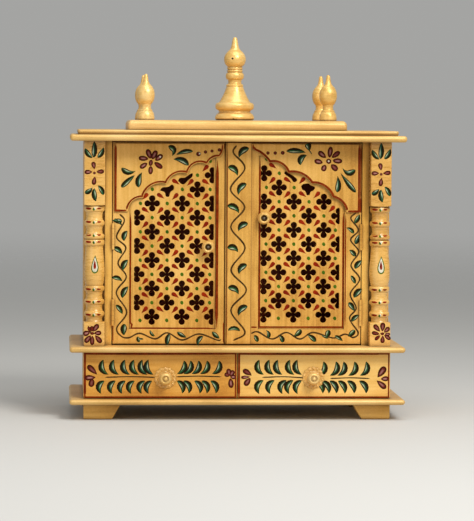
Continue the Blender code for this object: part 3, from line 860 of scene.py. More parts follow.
class Palette:
    """Every paint of the cabinet, made once."""

    def __init__(self) -> None:
        """Mix the paints."""
        room, upright, turned = RoomInside(), Brushing.UPRIGHT, Brushing.ROUND
        self.level = GoldPaint("gold_brushed_level", OCHRE, room=room).make()
        self.upright = GoldPaint("gold_brushed_upright", OCHRE, upright, room=room).make()
        self.post = GoldPaint("gold_on_posts", YELLOW, upright, room=room).make()
        self.lattice = GoldPaint("gold_on_lattice", OCHRE, upright, crevice_shade_reach=0.007).make()
        self.turned = GoldPaint("gold_on_columns", OCHRE, turned, 0.29, 0.05, 0.85).make()
        self.drawer_fronts = {
            Side.LEFT: GoldPaint("gold_on_left_drawer", BROWN).make(),
            Side.RIGHT: GoldPaint("gold_on_right_drawer", FAIR).make(),
        }
        self.bright = GoldPaint("bright_gold", PALE, turned, 0.33, 0.30, crevice_shade_reach=0.006).make()
        self.hinge = GoldPaint("gold_on_hinges", OCHRE, upright, 0.42, 0.25, crevice_shade_reach=0.003).make()
        # Slabs, roof edge and plank take the paler gold as painted sheen.
        self.slab = GoldPaint("gold_on_slabs", SHEEN_PALE_GOLD, room=room).make()
        self.wood = BareWood().make()
        self.leaf = LeafPaint().make()
        self.petal = PetalPaint().make()
        self.red = PlainPaint("red_drop_enamel", (0.290, 0.020, 0.001), (0.160, 0.008, 0.001)).make()
        self.green = PlainPaint("green_dot_enamel", (0.080, 0.160, 0.008), (0.034, 0.085, 0.004)).make()
        self.line = PlainPaint("red_brown_line", (0.240, 0.030, 0.001), (0.140, 0.014, 0.001)).make()
        self.vine = PlainPaint("dark_vine_line", (0.090, 0.044, 0.011), (0.036, 0.018, 0.005)).make()
        self.screw = PlainPaint("screw_steel", (0.100, 0.080, 0.060), (0.180, 0.150, 0.110)).make()
        self.white = PlainPaint("white_touch", (0.60, 0.56, 0.42), (0.74, 0.71, 0.58)).make()


# Painted touches


@dataclass(frozen=True)
class Stroke:
    """One touch of the brush between two places in millimetres on a face."""

    start: Spot
    end: Spot
    half_width: float
    sag: float = 0.0
    start_power: float = 0.75
    end_power: float = 0.75
    tint: float = 0.5

    def rows(self, count: int) -> tuple[Array, Array, Array]:
        """Work out the middle line, its left side and its half width.

        The middle line is a parabola whose middle lies off the straight way by
        the sag. The half width is t to the start power times 1 - t to the end
        power, scaled to the given half width at its widest.

        Args:
            count: Number of rows from start to end.

        Returns:
            Places, unit steps to the left, and half widths, one row each.
        """
        t = (1.0 - np.cos(np.linspace(0.0, math.pi, count)))[:, None] / 2
        start, end = np.array(self.start), np.array(self.end)
        way = end - start
        left = np.array([-way[1], way[0]]) / max(float(np.linalg.norm(way)), TINY)
        middle = start + way * t + left * self.sag * 4 * t * (1 - t)
        heading = way + left * self.sag * 4 * (1 - 2 * t)
        heading /= np.linalg.norm(heading, axis=1, keepdims=True)
        a, b = self.start_power, self.end_power
        peak = a / (a + b)
        widest = peak ** a * (1 - peak) ** b
        width = self.half_width * t[:, 0] ** a * (1 - t[:, 0]) ** b / widest
        return middle, np.stack([-heading[:, 1], heading[:, 0]], axis=1), width

    def moved(self, shift: float, rise: float = 0.0) -> "Stroke":
        """Return the same touch at another place on its face."""
        ends = [(x + shift, z + rise) for x, z in (self.start, self.end)]
        return replace(self, start=ends[0], end=ends[1])


def strokes(*rows: Sequence[float]) -> tuple[Stroke, ...]:
    """Strokes from rows of the start's and end's X and Z, then the other fields in order."""
    return tuple(Stroke(tuple(row[:2]), tuple(row[2:4]), *row[4:]) for row in rows)


def dot(centre: Spot, radius: float, tint: float = 0.5) -> Stroke:
    """Round touch about a centre."""
    x, z = centre
    return Stroke((x, z + radius), (x, z - radius), radius, 0.0, 0.5, 0.5, tint)


class Enamel:
    """Raised touches of one paint on one face, each a thin closed lens."""

    def __init__(self, ground: Ground, lift: float = LEAF_LIFT) -> None:
        """Start without any touch.

        Args:
            ground: Face that the paint lies on.
            lift: Rise of a touch in mm.
        """
        self.ground = ground
        self.lift = lift
        self.buried = 0.12
        self.shell = Shell()
        self.random = np.random.default_rng(11)

    def lay(self, middle: Array, left: Array, width: Array, sides: int) -> tuple[Array, Array]:
        """Carry a lens section along a line on the face.

        Around the section, the way across is the half width times the cosine,
        and the rise is the lift times the sine, or a thin root where that is
        below the face.

        Args:
            middle: Places along the line in mm.
            left: Unit step to the left at each place.
            width: Half width at each place in mm.
            sides: Points around the section.

        Returns:
            Points of the grid and the cosine of its columns.
        """
        angle = full_turn(sides)
        cosine, sine = np.cos(angle), np.sin(angle)
        spread = width[:, None] * cosine
        x = (middle[:, :1] + left[:, :1] * spread) * MM
        z = (middle[:, 1:] + left[:, 1:] * spread) * MM
        swell = np.sqrt(np.minimum(width / max(float(width.max()), TINY), 1.0))[:, None]
        rise = np.where(sine > 0, self.lift * sine, self.buried * sine) * swell
        y = self.ground(x, z) - rise * MM
        return np.stack([x, y, z], axis=-1), cosine

    def touch(self, stroke: Stroke, rows: int = 9, sides: int = 8) -> None:
        """Add one touch, whose pattern runs from its hollow to its bowed side.

        Args:
            stroke: The touch.
            rows: Rows of points along it.
            sides: Points around it.
        """
        middle, left, width = stroke.rows(rows)
        points, cosine = self.lay(middle, left, width, sides)
        along = np.broadcast_to(np.linspace(0.0, 1.0, rows)[:, None], points.shape[:2])
        bow = -1.0 if stroke.sag < 0 else 1.0
        across = np.broadcast_to((bow * cosine + 1) / 2, points.shape[:2])
        self.shell.grid(points, np.stack([along, across], axis=-1), stroke.tint)

    def touches(self, strokes: Sequence[Stroke], rows: int = 9, sides: int = 8) -> None:
        """Add several touches."""
        for stroke in strokes:
            self.touch(stroke, rows, sides)

    def ribbon(self, path: Array, half_width: float, closed: bool = False) -> None:
        """Add a painted line.

        An open line's half width wavers by a few parts in a hundred, as the hand
        does, and falls to nothing at both ends.

        Args:
            path: Points of its middle in mm.
            half_width: Half of its width in mm.
            closed: Whether the last point joins the first.
        """
        step = offsets(path, closed)
        waver = 1.0 + 0.10 * np.sin(np.cumsum(self.random.uniform(0.2, 0.9, len(path))))
        width = np.full(len(path), half_width)
        if not closed:
            run = np.concatenate([[0.0], np.cumsum(np.linalg.norm(np.diff(path, axis=0), axis=1))])
            near_end = np.minimum(run, run[-1] - run)
            width = half_width * waver * np.sqrt(np.clip(near_end / (half_width * 2.5), 0.0, 1.0))
        points, _ = self.lay(path, step, width, 6)
        self.shell.grid(points, closed=closed)

    def vine(self, crests: Sequence[Spot], half_width: float) -> None:
        """Add a waving line through its crests."""
        self.ribbon(smooth_curve(crests, 9), half_width)

    def straight(self, corners: Sequence[Spot], half_width: float, closed: bool = False) -> None:
        """Add a line that runs straight from corner to corner.

        Args:
            corners: Its corners in mm.
            half_width: Half of its width in mm.
            closed: Whether the last corner joins the first.
        """
        ends = list(corners) + ([corners[0]] if closed else [])
        known = np.array(ends, float)
        t = np.linspace(0.0, 1.0, 12, endpoint=False)[None, :, None]
        path = known[:-1, None] + (known[1:, None] - known[:-1, None]) * t
        path = path.reshape(-1, 2)
        if not closed:
            path = np.vstack([path, known[-1]])
        self.ribbon(path, half_width, closed)

    def finish(self, name: str, body: Body, paint: Material, slot: Slot) -> None:
        """Make the piece and let it ride on its body."""
        present(self.shell.build(name, 60.0), body, paint)


def flat_ground(depth: float) -> Ground:
    """Face that lies at one depth."""
    return lambda x, z: np.full(np.broadcast(x, z).shape, depth)


def present(
    piece: Piece, body: Body, paint: Material, stands_for: Sequence[str] = ()
) -> None:
    """Paint a finished piece, let it ride and hide the solids that it stands for.

    Args:
        piece: The finished piece.
        body: Body that it rides on.
        paint: Its material.
        stands_for: Names of the solids that it replaces.
    """
    piece.data.materials.clear()
    piece.data.materials.append(paint)
    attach(piece, body.value)
    if stands_for:
        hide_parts(*stands_for)
    LOG.info("%s: %d faces on %s", piece.name, len(piece.data.polygons), body.value)


def repaint(nodes: Sequence[str], paint: Material) -> None:
    """Give solids that stay in view their paint.

    Args:
        nodes: Names of the solids.
        paint: Their material.
    """
    for name in nodes:
        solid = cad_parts[name]
        solid.data.materials.clear()
        solid.data.materials.append(paint)
        LOG.info("%s: carried over", name)


# Slabs, feet and walls


@dataclass
class Carcass:
    """Slabs, moulded roof edge, plank, feet, drawer case and room walls."""

    palette: Palette
    corner_radius: float = 0.0060
    corner_steps: int = 6
    edge_steps: int = 14
    slab_rounding: float = 0.0048
    foot_easing: float = 0.0022
    cornice_cove: float = 0.0013
    cornice_cove_share: float = 0.50
    cornice_rounding: float = 0.0026
    plank_rounding: float = 0.0089
    plank_foot: Spot = (0.0006, 0.0008)
    flat_rim: float = 0.0012
    least_corner: float = 0.0008

    def ringed(
        self, name: str, node: str, rings: Sequence[Spot], back_moulded: bool, paint: Material
    ) -> None:
        """Make a slab whose edge follows rings of (height, inset).

        Each ring is the slab's rounded rectangle drawn in by its inset, and one
        more ring inside the top and the bottom keeps the flat faces flat.

        Args:
            name: Name of the piece.
            node: Solid that it replaces.
            rings: Heights and insets from the underside up.
            back_moulded: Whether the back edge is drawn in too.
            paint: Its material.
        """
        low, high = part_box(node)
        rim, first, last = self.flat_rim, rings[0], rings[-1]
        rows = []
        for height, inset in [(first[0], first[1] + rim), *rings, (last[0], last[1] + rim)]:
            back = high.y - (inset if back_moulded else min(inset, rim))
            radius = max(self.corner_radius - inset, self.least_corner)
            outline = rounded_rectangle(high.x - inset, low.y + inset, back, radius, self.corner_steps)
            rows.append(np.column_stack([outline, np.full(len(outline), height)]))
        shell = Shell()
        shell.drum(np.stack(rows))
        present(shell.build(name), Body.CABINET, paint, (node,))

    def slabs(self) -> None:
        """Make the three slabs: half an ellipse from the underside to the top of each edge."""
        for node in ("base_slab", "waist_slab", "roof_slab"):
            low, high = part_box(node)
            angle = np.linspace(-math.pi / 2, math.pi / 2, self.edge_steps + 1)
            height = (low.z + high.z) / 2 + (high.z - low.z) / 2 * np.sin(angle)
            inset = self.slab_rounding * (1 - np.cos(angle))
            self.ringed(f"{node}_painted", node, list(zip(height, inset)), False, self.palette.slab)

    def roof_edge(self) -> None:
        """Make the moulded layer: a shallow cove below a rounded edge.

        The cove's inset falls from full to none by a half cosine, and the top
        edge is a quarter circle.
        """
        low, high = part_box("cornice")
        height = high.z - low.z
        t = np.linspace(0.0, 1.0, 9)
        cove_height = low.z + height * self.cornice_cove_share * t
        cove_inset = self.cornice_cove * (1 + np.cos(math.pi * t)) / 2
        turn = np.linspace(0.0, math.pi / 2, 7)
        rounding = self.cornice_rounding
        rings = list(zip(cove_height, cove_inset))
        rings += [(high.z - rounding * (1 - math.sin(a)), rounding * (1 - math.cos(a))) for a in turn]
        self.ringed("roof_edge_moulding", "cornice", rings, True, self.palette.slab)

    def plank(self) -> None:
        """Make the finials' plank, whose top edge is a quarter circle."""
        low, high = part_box("finial_plank")
        turn = np.linspace(0.0, math.pi / 2, 9)
        radius = self.plank_rounding
        foot_height, foot_inset = self.plank_foot
        rings = [(low.z, foot_inset), (low.z + foot_height, 0.0)]
        rings += [(high.z - radius * (1 - math.sin(a)), radius * (1 - math.cos(a))) for a in turn]
        self.ringed("finial_plank_painted", "finial_plank", rings, True, self.palette.slab)

    def feet(self) -> None:
        """Make the bracket feet, whose two inner faces lean in to the floor."""
        for row in Row:
            for side in Side:
                node = f"foot_{row.value}_{side.word}"
                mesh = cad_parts[node].data.copy()
                mesh.name = f"{node}_eased"
                bm = bmesh.new()
                bm.from_mesh(mesh)
                bmesh.ops.remove_doubles(bm, verts=bm.verts, dist=1e-5)
                bmesh.ops.dissolve_limit(bm, angle_limit=0.02, verts=bm.verts, edges=bm.edges)
                bmesh.ops.recalc_face_normals(bm, faces=bm.faces)
                bm.to_mesh(mesh)
                bm.free()
                mesh.shade_smooth()
                foot = placed(f"{node}_eased", mesh)
                ease(foot, self.foot_easing)
                present(foot, Body.CABINET, self.palette.level, (node,))

    def walls(self) -> None:
        """Repaint the boards that stay as their solids."""
        case_parts = ("left_end", "right_end", "divider", "back")
        repaint([f"drawer_case_{part}" for part in case_parts], self.palette.level)
        repaint(("room_left_side", "room_right_side", "room_back"), self.palette.upright)
        repaint(("left_door_post", "right_door_post"), self.palette.post)

    def build(self) -> None:
        """Make all of it."""
        self.slabs()
        self.roof_edge()
        self.plank()
        self.feet()
        self.walls()


# Corner columns


COLUMN_LEAVES = strokes(
    (-2, 475.5, -1, 505, 5.3, -1, 0.6, 0.8, 0.9),
    (-4, 475, -17, 492, 4.6, 2.4, 0.8, 0.7, 0.3),
    (5, 475.5, 16, 494, 4.7, -2.2, 0.7, 0.9, 0.7),
    (-4, 421, -17.5, 411.5, 4.6, 1.8, 0.9, 0.5, 0.8),
    (-0.5, 420, 2.5, 396.5, 5, -1.8, 0.8, 0.8, 0.5),
    (6, 425, 15.5, 408, 4.6, 2, 0.8, 0.6, 0.3),
)
COLUMN_CROSS = strokes(
    (-3, 468, -0.5, 454.5, 4.2, 0, 0.5, 0.9, 0.5),
    (17, 450.8, 3, 449.3, 4.2, 0, 0.5, 0.9, 0.3),
    (-18.2, 449, -4, 449.5, 4.3, 0, 0.5, 0.9, 0.8),
    (-2, 426, 0.5, 441, 4.3, 0, 0.5, 0.9, 0.4),
)
BEAD_REDS = strokes(
    (-15.5, 0.4, -5.5, -0.2, 2.1, -0.6, 0.4, 0.5),
    (4.5, 0.3, 12.5, 0.2, 1.7, -0.6, 0.5, 0.7),
)
# White dab at the front of each bead: white paint and partly painted highlight, where the sheen falls.
BEAD_WHITE_SHEEN = strokes(
    (-0.8, 2.8, 1.4, -2.8, 1.3, 0.4),
)
BEAD_GREEN = strokes(
    (-2.6, 1.2, -1.2, -4.2, 2.1, 0.5),
)
BARREL_DROP = strokes(
    (0.6, 299, 0, 265.5, 6.8, 0, 1.2, 0.5),
    (0.4, 295.5, 0, 268, 5, 0, 1.2, 0.5),
    (-0.2, 290.5, 0, 273.5, 2.5, 0, 1.2, 0.5),
)
LEFT_COLUMN_FLOWER = strokes(
    (-264, 159.4, -264, 154, 4, 0, 0.5, 0.6, 0),
    (-271, 170.3, -266.1, 158.6, 2.6, -1, 0.6, 0.7, 0),
    (-264.7, 170.3, -264.3, 160.1, 4, 0, 0.5, 0.7, 0),
    (-253.1, 173.6, -262.1, 160.1, 4.8, 0, 0.5, 0.8, 0.5),
    (-247.2, 157.9, -260.6, 157.2, 4.6, 0, 0.5, 0.8, 0.6),
    (-247.2, 139.7, -258.8, 153.6, 4.8, 0, 0.5, 0.9, 0.3),
    (-264.2, 135.4, -263.5, 152.5, 4.2, 0, 0.5, 0.8, 0.3),
    (-276.9, 140.1, -266.4, 153.2, 4.9, 0, 0.5, 0.8, 0.6),
    (-280.6, 155.3, -267.9, 159, 5, 0, 0.5, 0.7, 0.9),
)
RIGHT_COLUMN_FLOWER = strokes(
    (264.6, 159.4, 264.6, 154.2, 3.6, 0, 0.5, 0.6, 0),
    (265.5, 177.3, 264.5, 160.9, 4.9, 0, 0.5, 0.9, 0.4),
    (249, 173.6, 260.1, 160.8, 4.6, 0, 0.5, 0.9, 0.3),
    (245.1, 159, 259.8, 156.1, 3.8, 0, 0.5, 0.9, 0.1),
    (251.1, 145.5, 260.5, 153.9, 3.4, 0, 0.5, 0.8, 0),
    (264.7, 139.6, 265.7, 153.5, 4.2, 0, 0.5, 0.9, 0.3),
    (279.7, 146.6, 268.2, 154.3, 3.8, 0, 0.5, 0.8, 0.5),
    (278.9, 156.1, 269, 156.1, 3, 0, 0.5, 0.8, 0.9),
    (277.3, 168.6, 267.8, 159, 4.4, 0, 0.5, 0.8, 0.6),
)


class Moulding(Enum):
    """Kinds of moulding turned on a column."""

    BEAD = "bead"
    NECK = "neck"
    BARREL = "barrel"


@dataclass
class Column:
    """Corner column: one square post, turned between an upper and a lower block."""

    side: Side
    palette: Palette
    flower: tuple[Stroke, ...]
    top_block_height: float = 0.1135
    bottom_block_height: float = 0.0405
    block_rim: float = 0.0004
    shoulder: float = 0.0035
    neck_radius: float = 0.0160
    neck_step: float = 0.0004
    neck_hollow: float = 0.0012
    bead_step: float = 0.0005
    barrel_step: float = 0.0002
    corner_power: float = 22.0
    points_per_side: int = 18
    mouldings: tuple[tuple[Moulding, float], ...] = (
        (Moulding.BEAD, 11.8), (Moulding.NECK, 15.5), (Moulding.BEAD, 11.0), (Moulding.NECK, 14.6),
        (Moulding.BEAD, 10.0), (Moulding.BEAD, 12.8), (Moulding.BARREL, 73.9), (Moulding.BEAD, 10.9),
        (Moulding.NECK, 14.6), (Moulding.BEAD, 10.0), (Moulding.NECK, 11.9), (Moulding.BEAD, 10.9),
        (Moulding.NECK, 9.1),
    )
    painted_beads: tuple[float, ...] = (383.4, 359.2, 335.6, 323.0, 237.2, 214.5, 190.8)
    drop_shift: float = 0.8

    def __post_init__(self) -> None:
        """Read the column's place off its solid."""
        low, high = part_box(f"{self.side.word}_column")
        self.half = (high.x - low.x) / 2
        self.past_corner = self.half * 1.42
        self.centre = ((low.x + high.x) / 2, (low.y + high.y) / 2)
        self.bottom, self.top = low.z, high.z
        self.heights, self.radii = self.profile()

    def moulding(self, kind: Moulding, top: float, height: float) -> Array:
        """Work out the profile of one moulding, from its top down.

        A bead is half an ellipse that swells from the neck to the full radius,
        a neck is hollowed by a shallow sine, and a barrel swells by the sine of
        a half turn whose middle lies low.

        Args:
            kind: Kind of moulding.
            top: Height of its top.
            height: Way from its top to its foot.

        Returns:
            Rows of (height, radius).
        """
        t = np.linspace(0.0, 1.0, 33 if kind is Moulding.BARREL else 13)
        neck, swell = self.neck_radius, self.half - self.neck_radius
        if kind is Moulding.BEAD:
            radius = neck + swell * np.sqrt(np.maximum(1 - (2 * t - 1) ** 2, 0.0)) - self.bead_step
        elif kind is Moulding.NECK:
            radius = neck - self.neck_step - self.neck_hollow * np.sin(math.pi * t)
        else:
            radius = neck - self.barrel_step + swell * np.sin(math.pi * t ** 1.6) ** 0.85
        return np.stack([top - height * t, radius], axis=1)

    def profile(self) -> tuple[Array, Array]:
        """Work out the lathe profile of the whole post, from the top down.

        Beside the blocks the radius is past the square's corners, and it falls
        to the neck along a quarter circle at each shoulder.

        Returns:
            Heights and radii.
        """
        past = self.past_corner
        high_block = self.top - self.top_block_height
        low_block = self.bottom + self.bottom_block_height
        turn = np.linspace(0.0, math.pi / 2, 8)
        fall = self.shoulder * np.sin(turn)
        radius = past - (past - self.neck_radius) * (1 - np.cos(turn))
        level = high_block - self.shoulder
        scale = (level - low_block - self.shoulder) / sum(height for _, height in self.mouldings)
        parts = [np.array([[self.top, past], [high_block + self.block_rim, past]])]
        parts.append(np.stack([high_block - fall, radius], axis=1))
        for kind, height in self.mouldings:
            parts.append(self.moulding(kind, level, height * scale))
            level -= height * scale
        parts.append(np.stack([low_block + fall, radius], axis=1)[::-1])
        parts.append(np.array([[low_block - self.block_rim, past], [self.bottom, past]]))
        whole = np.vstack(parts)
        return whole[:, 0], whole[:, 1]

    def depth(self, x: Array, z: Array) -> Array:
        """Find the column's front: flat on the blocks and round between them.

        Args:
            x: Places across.
            z: Heights.

        Returns:
            Depth of the front at each place.
        """
        radius = np.interp(z, self.heights[::-1], self.radii[::-1])
        radius = np.minimum(radius, self.past_corner)
        bow = np.sqrt(np.maximum(radius ** 2 - (x - self.centre[0]) ** 2, 1e-8))
        return self.centre[1] - np.minimum(bow, self.half)

    def post(self) -> None:
        """Make the post.

        Around each height the radius is the smaller of the lathe radius and of
        a square with slightly rounded corners: half over the power sum of
        cosine and sine.
        """
        share = np.linspace(-math.pi / 2, math.pi / 2, self.points_per_side, endpoint=False)
        quarter = math.pi / 4 * np.sin(share)
        angle = np.concatenate([quarter + math.pi / 2 * turn for turn in range(4)])
        power = self.corner_power
        total = np.abs(np.cos(angle)) ** power + np.abs(np.sin(angle)) ** power
        square = self.half / total ** (1 / power)
        radius = np.minimum(square[None, :], self.radii[:, None])
        x = self.centre[0] + radius * np.cos(angle)
        y = self.centre[1] + radius * np.sin(angle)
        z = np.broadcast_to(self.heights[:, None], x.shape)
        shell = Shell()
        shell.drum(np.stack([x, y, z], axis=-1))
        name = f"{self.side.word}_column"
        post = shell.build(f"{name}_turned", 32.0)
        present(post, Body.CABINET, self.palette.turned, (name,))

    def paint(self) -> None:
        """Paint leaves, a cross of petals, a flower, the beads and the drop on the barrel."""
        word, middle = self.side.word, self.centre[0] / MM
        leaves, petals = Enamel(self.depth), Enamel(self.depth)
        reds, greens, whites = Enamel(self.depth), Enamel(self.depth), Enamel(self.depth, 0.12)
        leaves.touches([leaf.moved(middle) for leaf in COLUMN_LEAVES])
        petals.touches([petal.moved(middle) for petal in COLUMN_CROSS])
        petals.touch(dot((middle - 0.5, 447.6), 2.5, 0.2))
        petals.touches(self.flower)
        # The white dab on each bead's front is partly painted highlight.
        for level in self.painted_beads:
            for enamel, group in ((reds, BEAD_REDS), (whites, BEAD_WHITE_SHEEN), (greens, BEAD_GREEN)):
                enamel.touches([touch.moved(middle, level) for touch in group])
        green, white, red = (touch.moved(middle + self.drop_shift) for touch in BARREL_DROP)
        greens.touch(green, 11, 10)
        whites.shell.grid(self.raised(white, 0.20))
        reds.shell.grid(self.raised(red, 0.32))
        body, palette = Body.CABINET, self.palette
        leaves.finish(f"{word}_column_leaves", body, palette.leaf, Slot.LEAF)
        petals.finish(f"{word}_column_petals", body, palette.petal, Slot.MAROON)
        reds.finish(f"{word}_column_red_touches", body, palette.red, Slot.MAROON)
        greens.finish(f"{word}_column_green_touches", body, palette.green, Slot.LEAF)
        whites.finish(f"{word}_column_white_touches", body, palette.white, Slot.BRIGHT)

    def raised(self, stroke: Stroke, height: float) -> Array:
        """Grid of a touch that lies on another, higher by a height in mm."""
        above = Enamel(lambda x, z: self.depth(x, z) - height * MM)
        return above.lay(*stroke.rows(9), 8)[0]

    def build(self) -> None:
        """Make the post and paint it."""
        self.post()
        self.paint()


# Finials and knobs


@dataclass
class Finials:
    """Turned finials: one tall in the middle of the plank and four small."""

    palette: Palette
    sides: int = 64
    tall_runs: Runs = (
        ((33.4, 0.3), (35.5, 2.2), (36.2, 5.2), (35.2, 9), (32.8, 12.2)),
        ((31.6, 12.8), (29.6, 14.8), (29.3, 17), (30.8, 19.2)),
        ((32.8, 19.8), (35, 21.8), (35.8, 25.4), (35.3, 29.4), (33, 32.4)),
        ((29.8, 33), (28.6, 34.2), (26, 38.6), (22.4, 45.2), (18.9, 52.8), (16.6, 59.2), (15.2, 62.8)),
        ((15.6, 63.4), (15.9, 64.8), (15, 66.4), (13.4, 67.4)),
        ((12.7, 68), (12.1, 71.4), (12.7, 75)),
        ((13.6, 75.6), (15.8, 77.4), (16.8, 81), (16.6, 84.8), (15, 87.8), (13.6, 88.8)),
        ((13.4, 89.3), (14.6, 90.8), (14.5, 92.4), (13.3, 93.4)),
        ((13.2, 93.9), (14.3, 95.6), (14.2, 97.6), (13.2, 98.8)),
        ((13.6, 99.4), (17.6, 103.6), (19.7, 109), (20.1, 114.4), (18.4, 120.8), (14.6, 126.2),
         (11, 129.8)),
        ((10.2, 130.4), (8.2, 133.4), (6.8, 138), (5.5, 144), (4.5, 149.6), (3, 153), (0, 154.1)),
    )
    small_runs: Runs = (
        ((15.6, 0.3), (16, 2.4), (15.6, 7), (14.6, 12), (12.6, 15.8)),
        ((12, 16.2), (12.1, 18), (10.8, 19.6)),
        ((10, 20), (9.4, 23.2), (9.4, 26.8), (10, 29.4)),
        ((10.6, 29.9), (13.6, 34.2), (15.6, 40), (16.1, 46.6), (15.2, 53.6), (12.2, 60.2), (8.4, 64.6)),
        ((7.4, 65.6), (5.6, 69.2), (4.4, 74.6), (3.6, 79.6), (2.6, 83), (0, 84.4)),
    )

    def turn(self, node: str, runs: Runs) -> None:
        """Turn one finial on the plank.

        Args:
            node: Solid that it replaces.
            runs: Smooth runs of (radius, height) in mm that meet in creases.
        """
        low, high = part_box(node)
        seat = np.array([(low.x + high.x) / 2, (low.y + high.y) / 2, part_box("finial_plank")[1].z])
        shell = Shell()
        index = shell.grid(turned_runs(runs, 6, self.sides) + seat)
        shell.cap(index[0])
        finial = shell.build(f"{node}_turned", 28.0)
        present(finial, Body.CABINET, self.palette.bright, (node,))

    def chips(self) -> None:
        """Add the small places where paint is missing on the middle finial."""
        low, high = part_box("finial_middle")
        plank_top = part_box("finial_plank")[1].z
        centre = ((low.x + high.x) / 2, (low.y + high.y) / 2)
        tall = np.vstack([smooth_curve(run, 6) for run in self.tall_runs]) * MM

        def depth(x: Array, z: Array) -> Array:
            """Depth of the finial's front at places across and heights."""
            radius = np.interp(z - plank_top, tall[:, 1], tall[:, 0])
            return centre[1] - np.sqrt(np.maximum(radius ** 2 - (x - centre[0]) ** 2, 1e-8))

        marks = Enamel(depth, 0.05)
        base = plank_top / MM
        marks.touch(dot((-5.6, base + 114.2), 1.9))
        marks.touch(Stroke((-6.0, base + 3.2), (-1.6, base + 1.4), 1.2, 0.4))
        marks.touch(Stroke((-0.6, base + 1.8), (2.2, base + 2.6), 0.8))
        marks.finish("finial_middle_chips", Body.CABINET, self.palette.vine, Slot.LINE)

    def build(self) -> None:
        """Turn all five."""
        self.turn("finial_middle", self.tall_runs)
        for row in Row:
            for side in Side:
                self.turn(f"finial_{row.value}_{side.word}", self.small_runs)
        self.chips()


DRAWER_KNOB = (
    ((5.9, 0), (5.6, 2.6), (5.7, 5)),
    ((6.2, 5.6), (9.8, 7.8), (11.3, 11.2), (11.2, 13.8), (9.9, 16.4), (8.6, 17.9), (7.5, 18.5),
     (6.4, 18.3)),
    ((6.1, 18), (5, 16.9), (4, 16.6), (3.2, 16.9)),
    ((2.9, 17.3), (2.8, 19.2), (2, 20.2), (0, 20.5)),
)
DOOR_KNOB = (
    ((5.9, 0), (5.6, 2.6), (5.7, 5)),
    ((6.2, 5.6), (10.2, 7.8), (11.4, 10.8), (11.3, 13.2), (10, 15.4), (9.3, 16.6)),
    ((9.2, 16.9), (9.2, 19.2), (8.5, 20.3), (7.3, 20.5), (6.3, 19.9)),
    ((5.9, 19.4), (5.6, 17), (5.3, 15)),
)
# Floor of the doors' screw hole, painted dark as the shade deep in the hole.
KNOB_RECESS = (((0.0, 14.95), (5.2, 14.95), (5.2, 15.3), (0.0, 15.3)),)
KNOB_SCREW = (((0.0, 15.25), (2.2, 15.25), (2.2, 16.5), (1.5, 17.1), (0.0, 17.3)),)


@dataclass
class Knob:
    """Turned knob whose axis points to the front, with a screw in it on the doors."""

    node: str
    body: Body
    palette: Palette
    runs: Runs
    screwed: bool = False
    sides: int = 48

    def turned(self, name: str, runs: Runs, steps: int) -> Piece:
        """Turn one piece of the knob on its seat.

        Args:
            name: Name of the piece.
            runs: Smooth runs of (radius, way from the seat) in mm.
            steps: Stretches between two points of a run.

        Returns:
            The piece, closed at each end that is off the axis.
        """
        grid = turned_runs(runs, steps, self.sides)
        shell = Shell()
        index = shell.grid(face_front(grid) + seat_of(self.node))
        for end in (0, -1):
            if grid[end, 0, 0] > 0.0:
                shell.cap(index[end])
        return shell.build(name, 40.0)

    def build(self) -> None:
        """Turn the knob, seat it where its solid is and add the screw."""
        palette = self.palette
        head = self.turned(f"{self.node}_turned", self.runs, 5)
        present(head, self.body, palette.bright, (self.node,))
        if self.screwed:
            # The dark disc at the floor of the screw hole is painted shade.
            recess = self.turned(f"{self.node}_recess", KNOB_RECESS, 1)
            present(recess, self.body, palette.vine)
            screw = self.turned(f"{self.node}_screw", KNOB_SCREW, 1)
            present(screw, self.body, palette.screw)


@dataclass
class Rose:
    """Carved ring of beads between a drawer front and its knob."""

    side: Side
    palette: Palette
    radius: float = 0.0205
    scallop: float = 0.0016
    thickness: float = 0.0011
    beads: int = 14
    bead_place: float = 0.82
    bead_radius: float = 0.0017
    bead_flatness: float = 0.8
    groove_place: float = 0.64
    groove_depth: float = 0.0006
    foot: float = 0.0002

    def build(self) -> None:
        """Make the rose.

        Its height over (share of the radius, angle) is a flat disc with a groove
        round it and a half ball on each bead's place. The rim is drawn in by a
        squared cosine between the beads.
        """
        node = f"{self.side.word}_drawer_rose"
        share = np.concatenate([np.linspace(0.0, 0.52, 4), np.linspace(0.56, 1.0, 22)])[:, None]
        angle = full_turn(self.beads * 12)[None, :]
        pitch = math.tau / self.beads
        rim = self.radius - self.scallop * np.cos(angle * self.beads / 2) ** 2
        aside = np.mod(angle, pitch) - pitch / 2
        ring = self.radius * self.bead_place
        distance = (rim * share - ring) ** 2 + (ring * aside) ** 2
        bead = self.bead_flatness * np.sqrt(np.maximum(self.bead_radius ** 2 - distance, 0.0))
        plate = self.thickness * np.sqrt(np.clip((1.0 - share) / 0.06, 0.0, 1.0))
        groove = self.groove_depth * np.exp(-((share - self.groove_place) / 0.05) ** 2)
        height = np.maximum(plate - groove, 0.0) + bead + self.foot
        x, y = rim * share * np.cos(angle), rim * share * np.sin(angle)
        top = np.stack([x, y, np.broadcast_to(height, x.shape)], axis=-1)
        foot = top[-1:] * np.array([1.0, 1.0, 0.0])
        shell = Shell()
        index = shell.grid(face_front(np.concatenate([top, foot])) + seat_of(node))
        shell.cap(index[-1])
        body = Body(f"{self.side.word}_drawer")
        rose = shell.build(f"{node}_carved", 60.0)
        present(rose, body, self.palette.turned, (node,))


# Doors


@dataclass(frozen=True)
class ArchCut:
    """Lower edge of one arch board: cusps as (way from the middle, height) and swells."""

    cusps: tuple[Spot, ...]
    swells: tuple[float, ...]


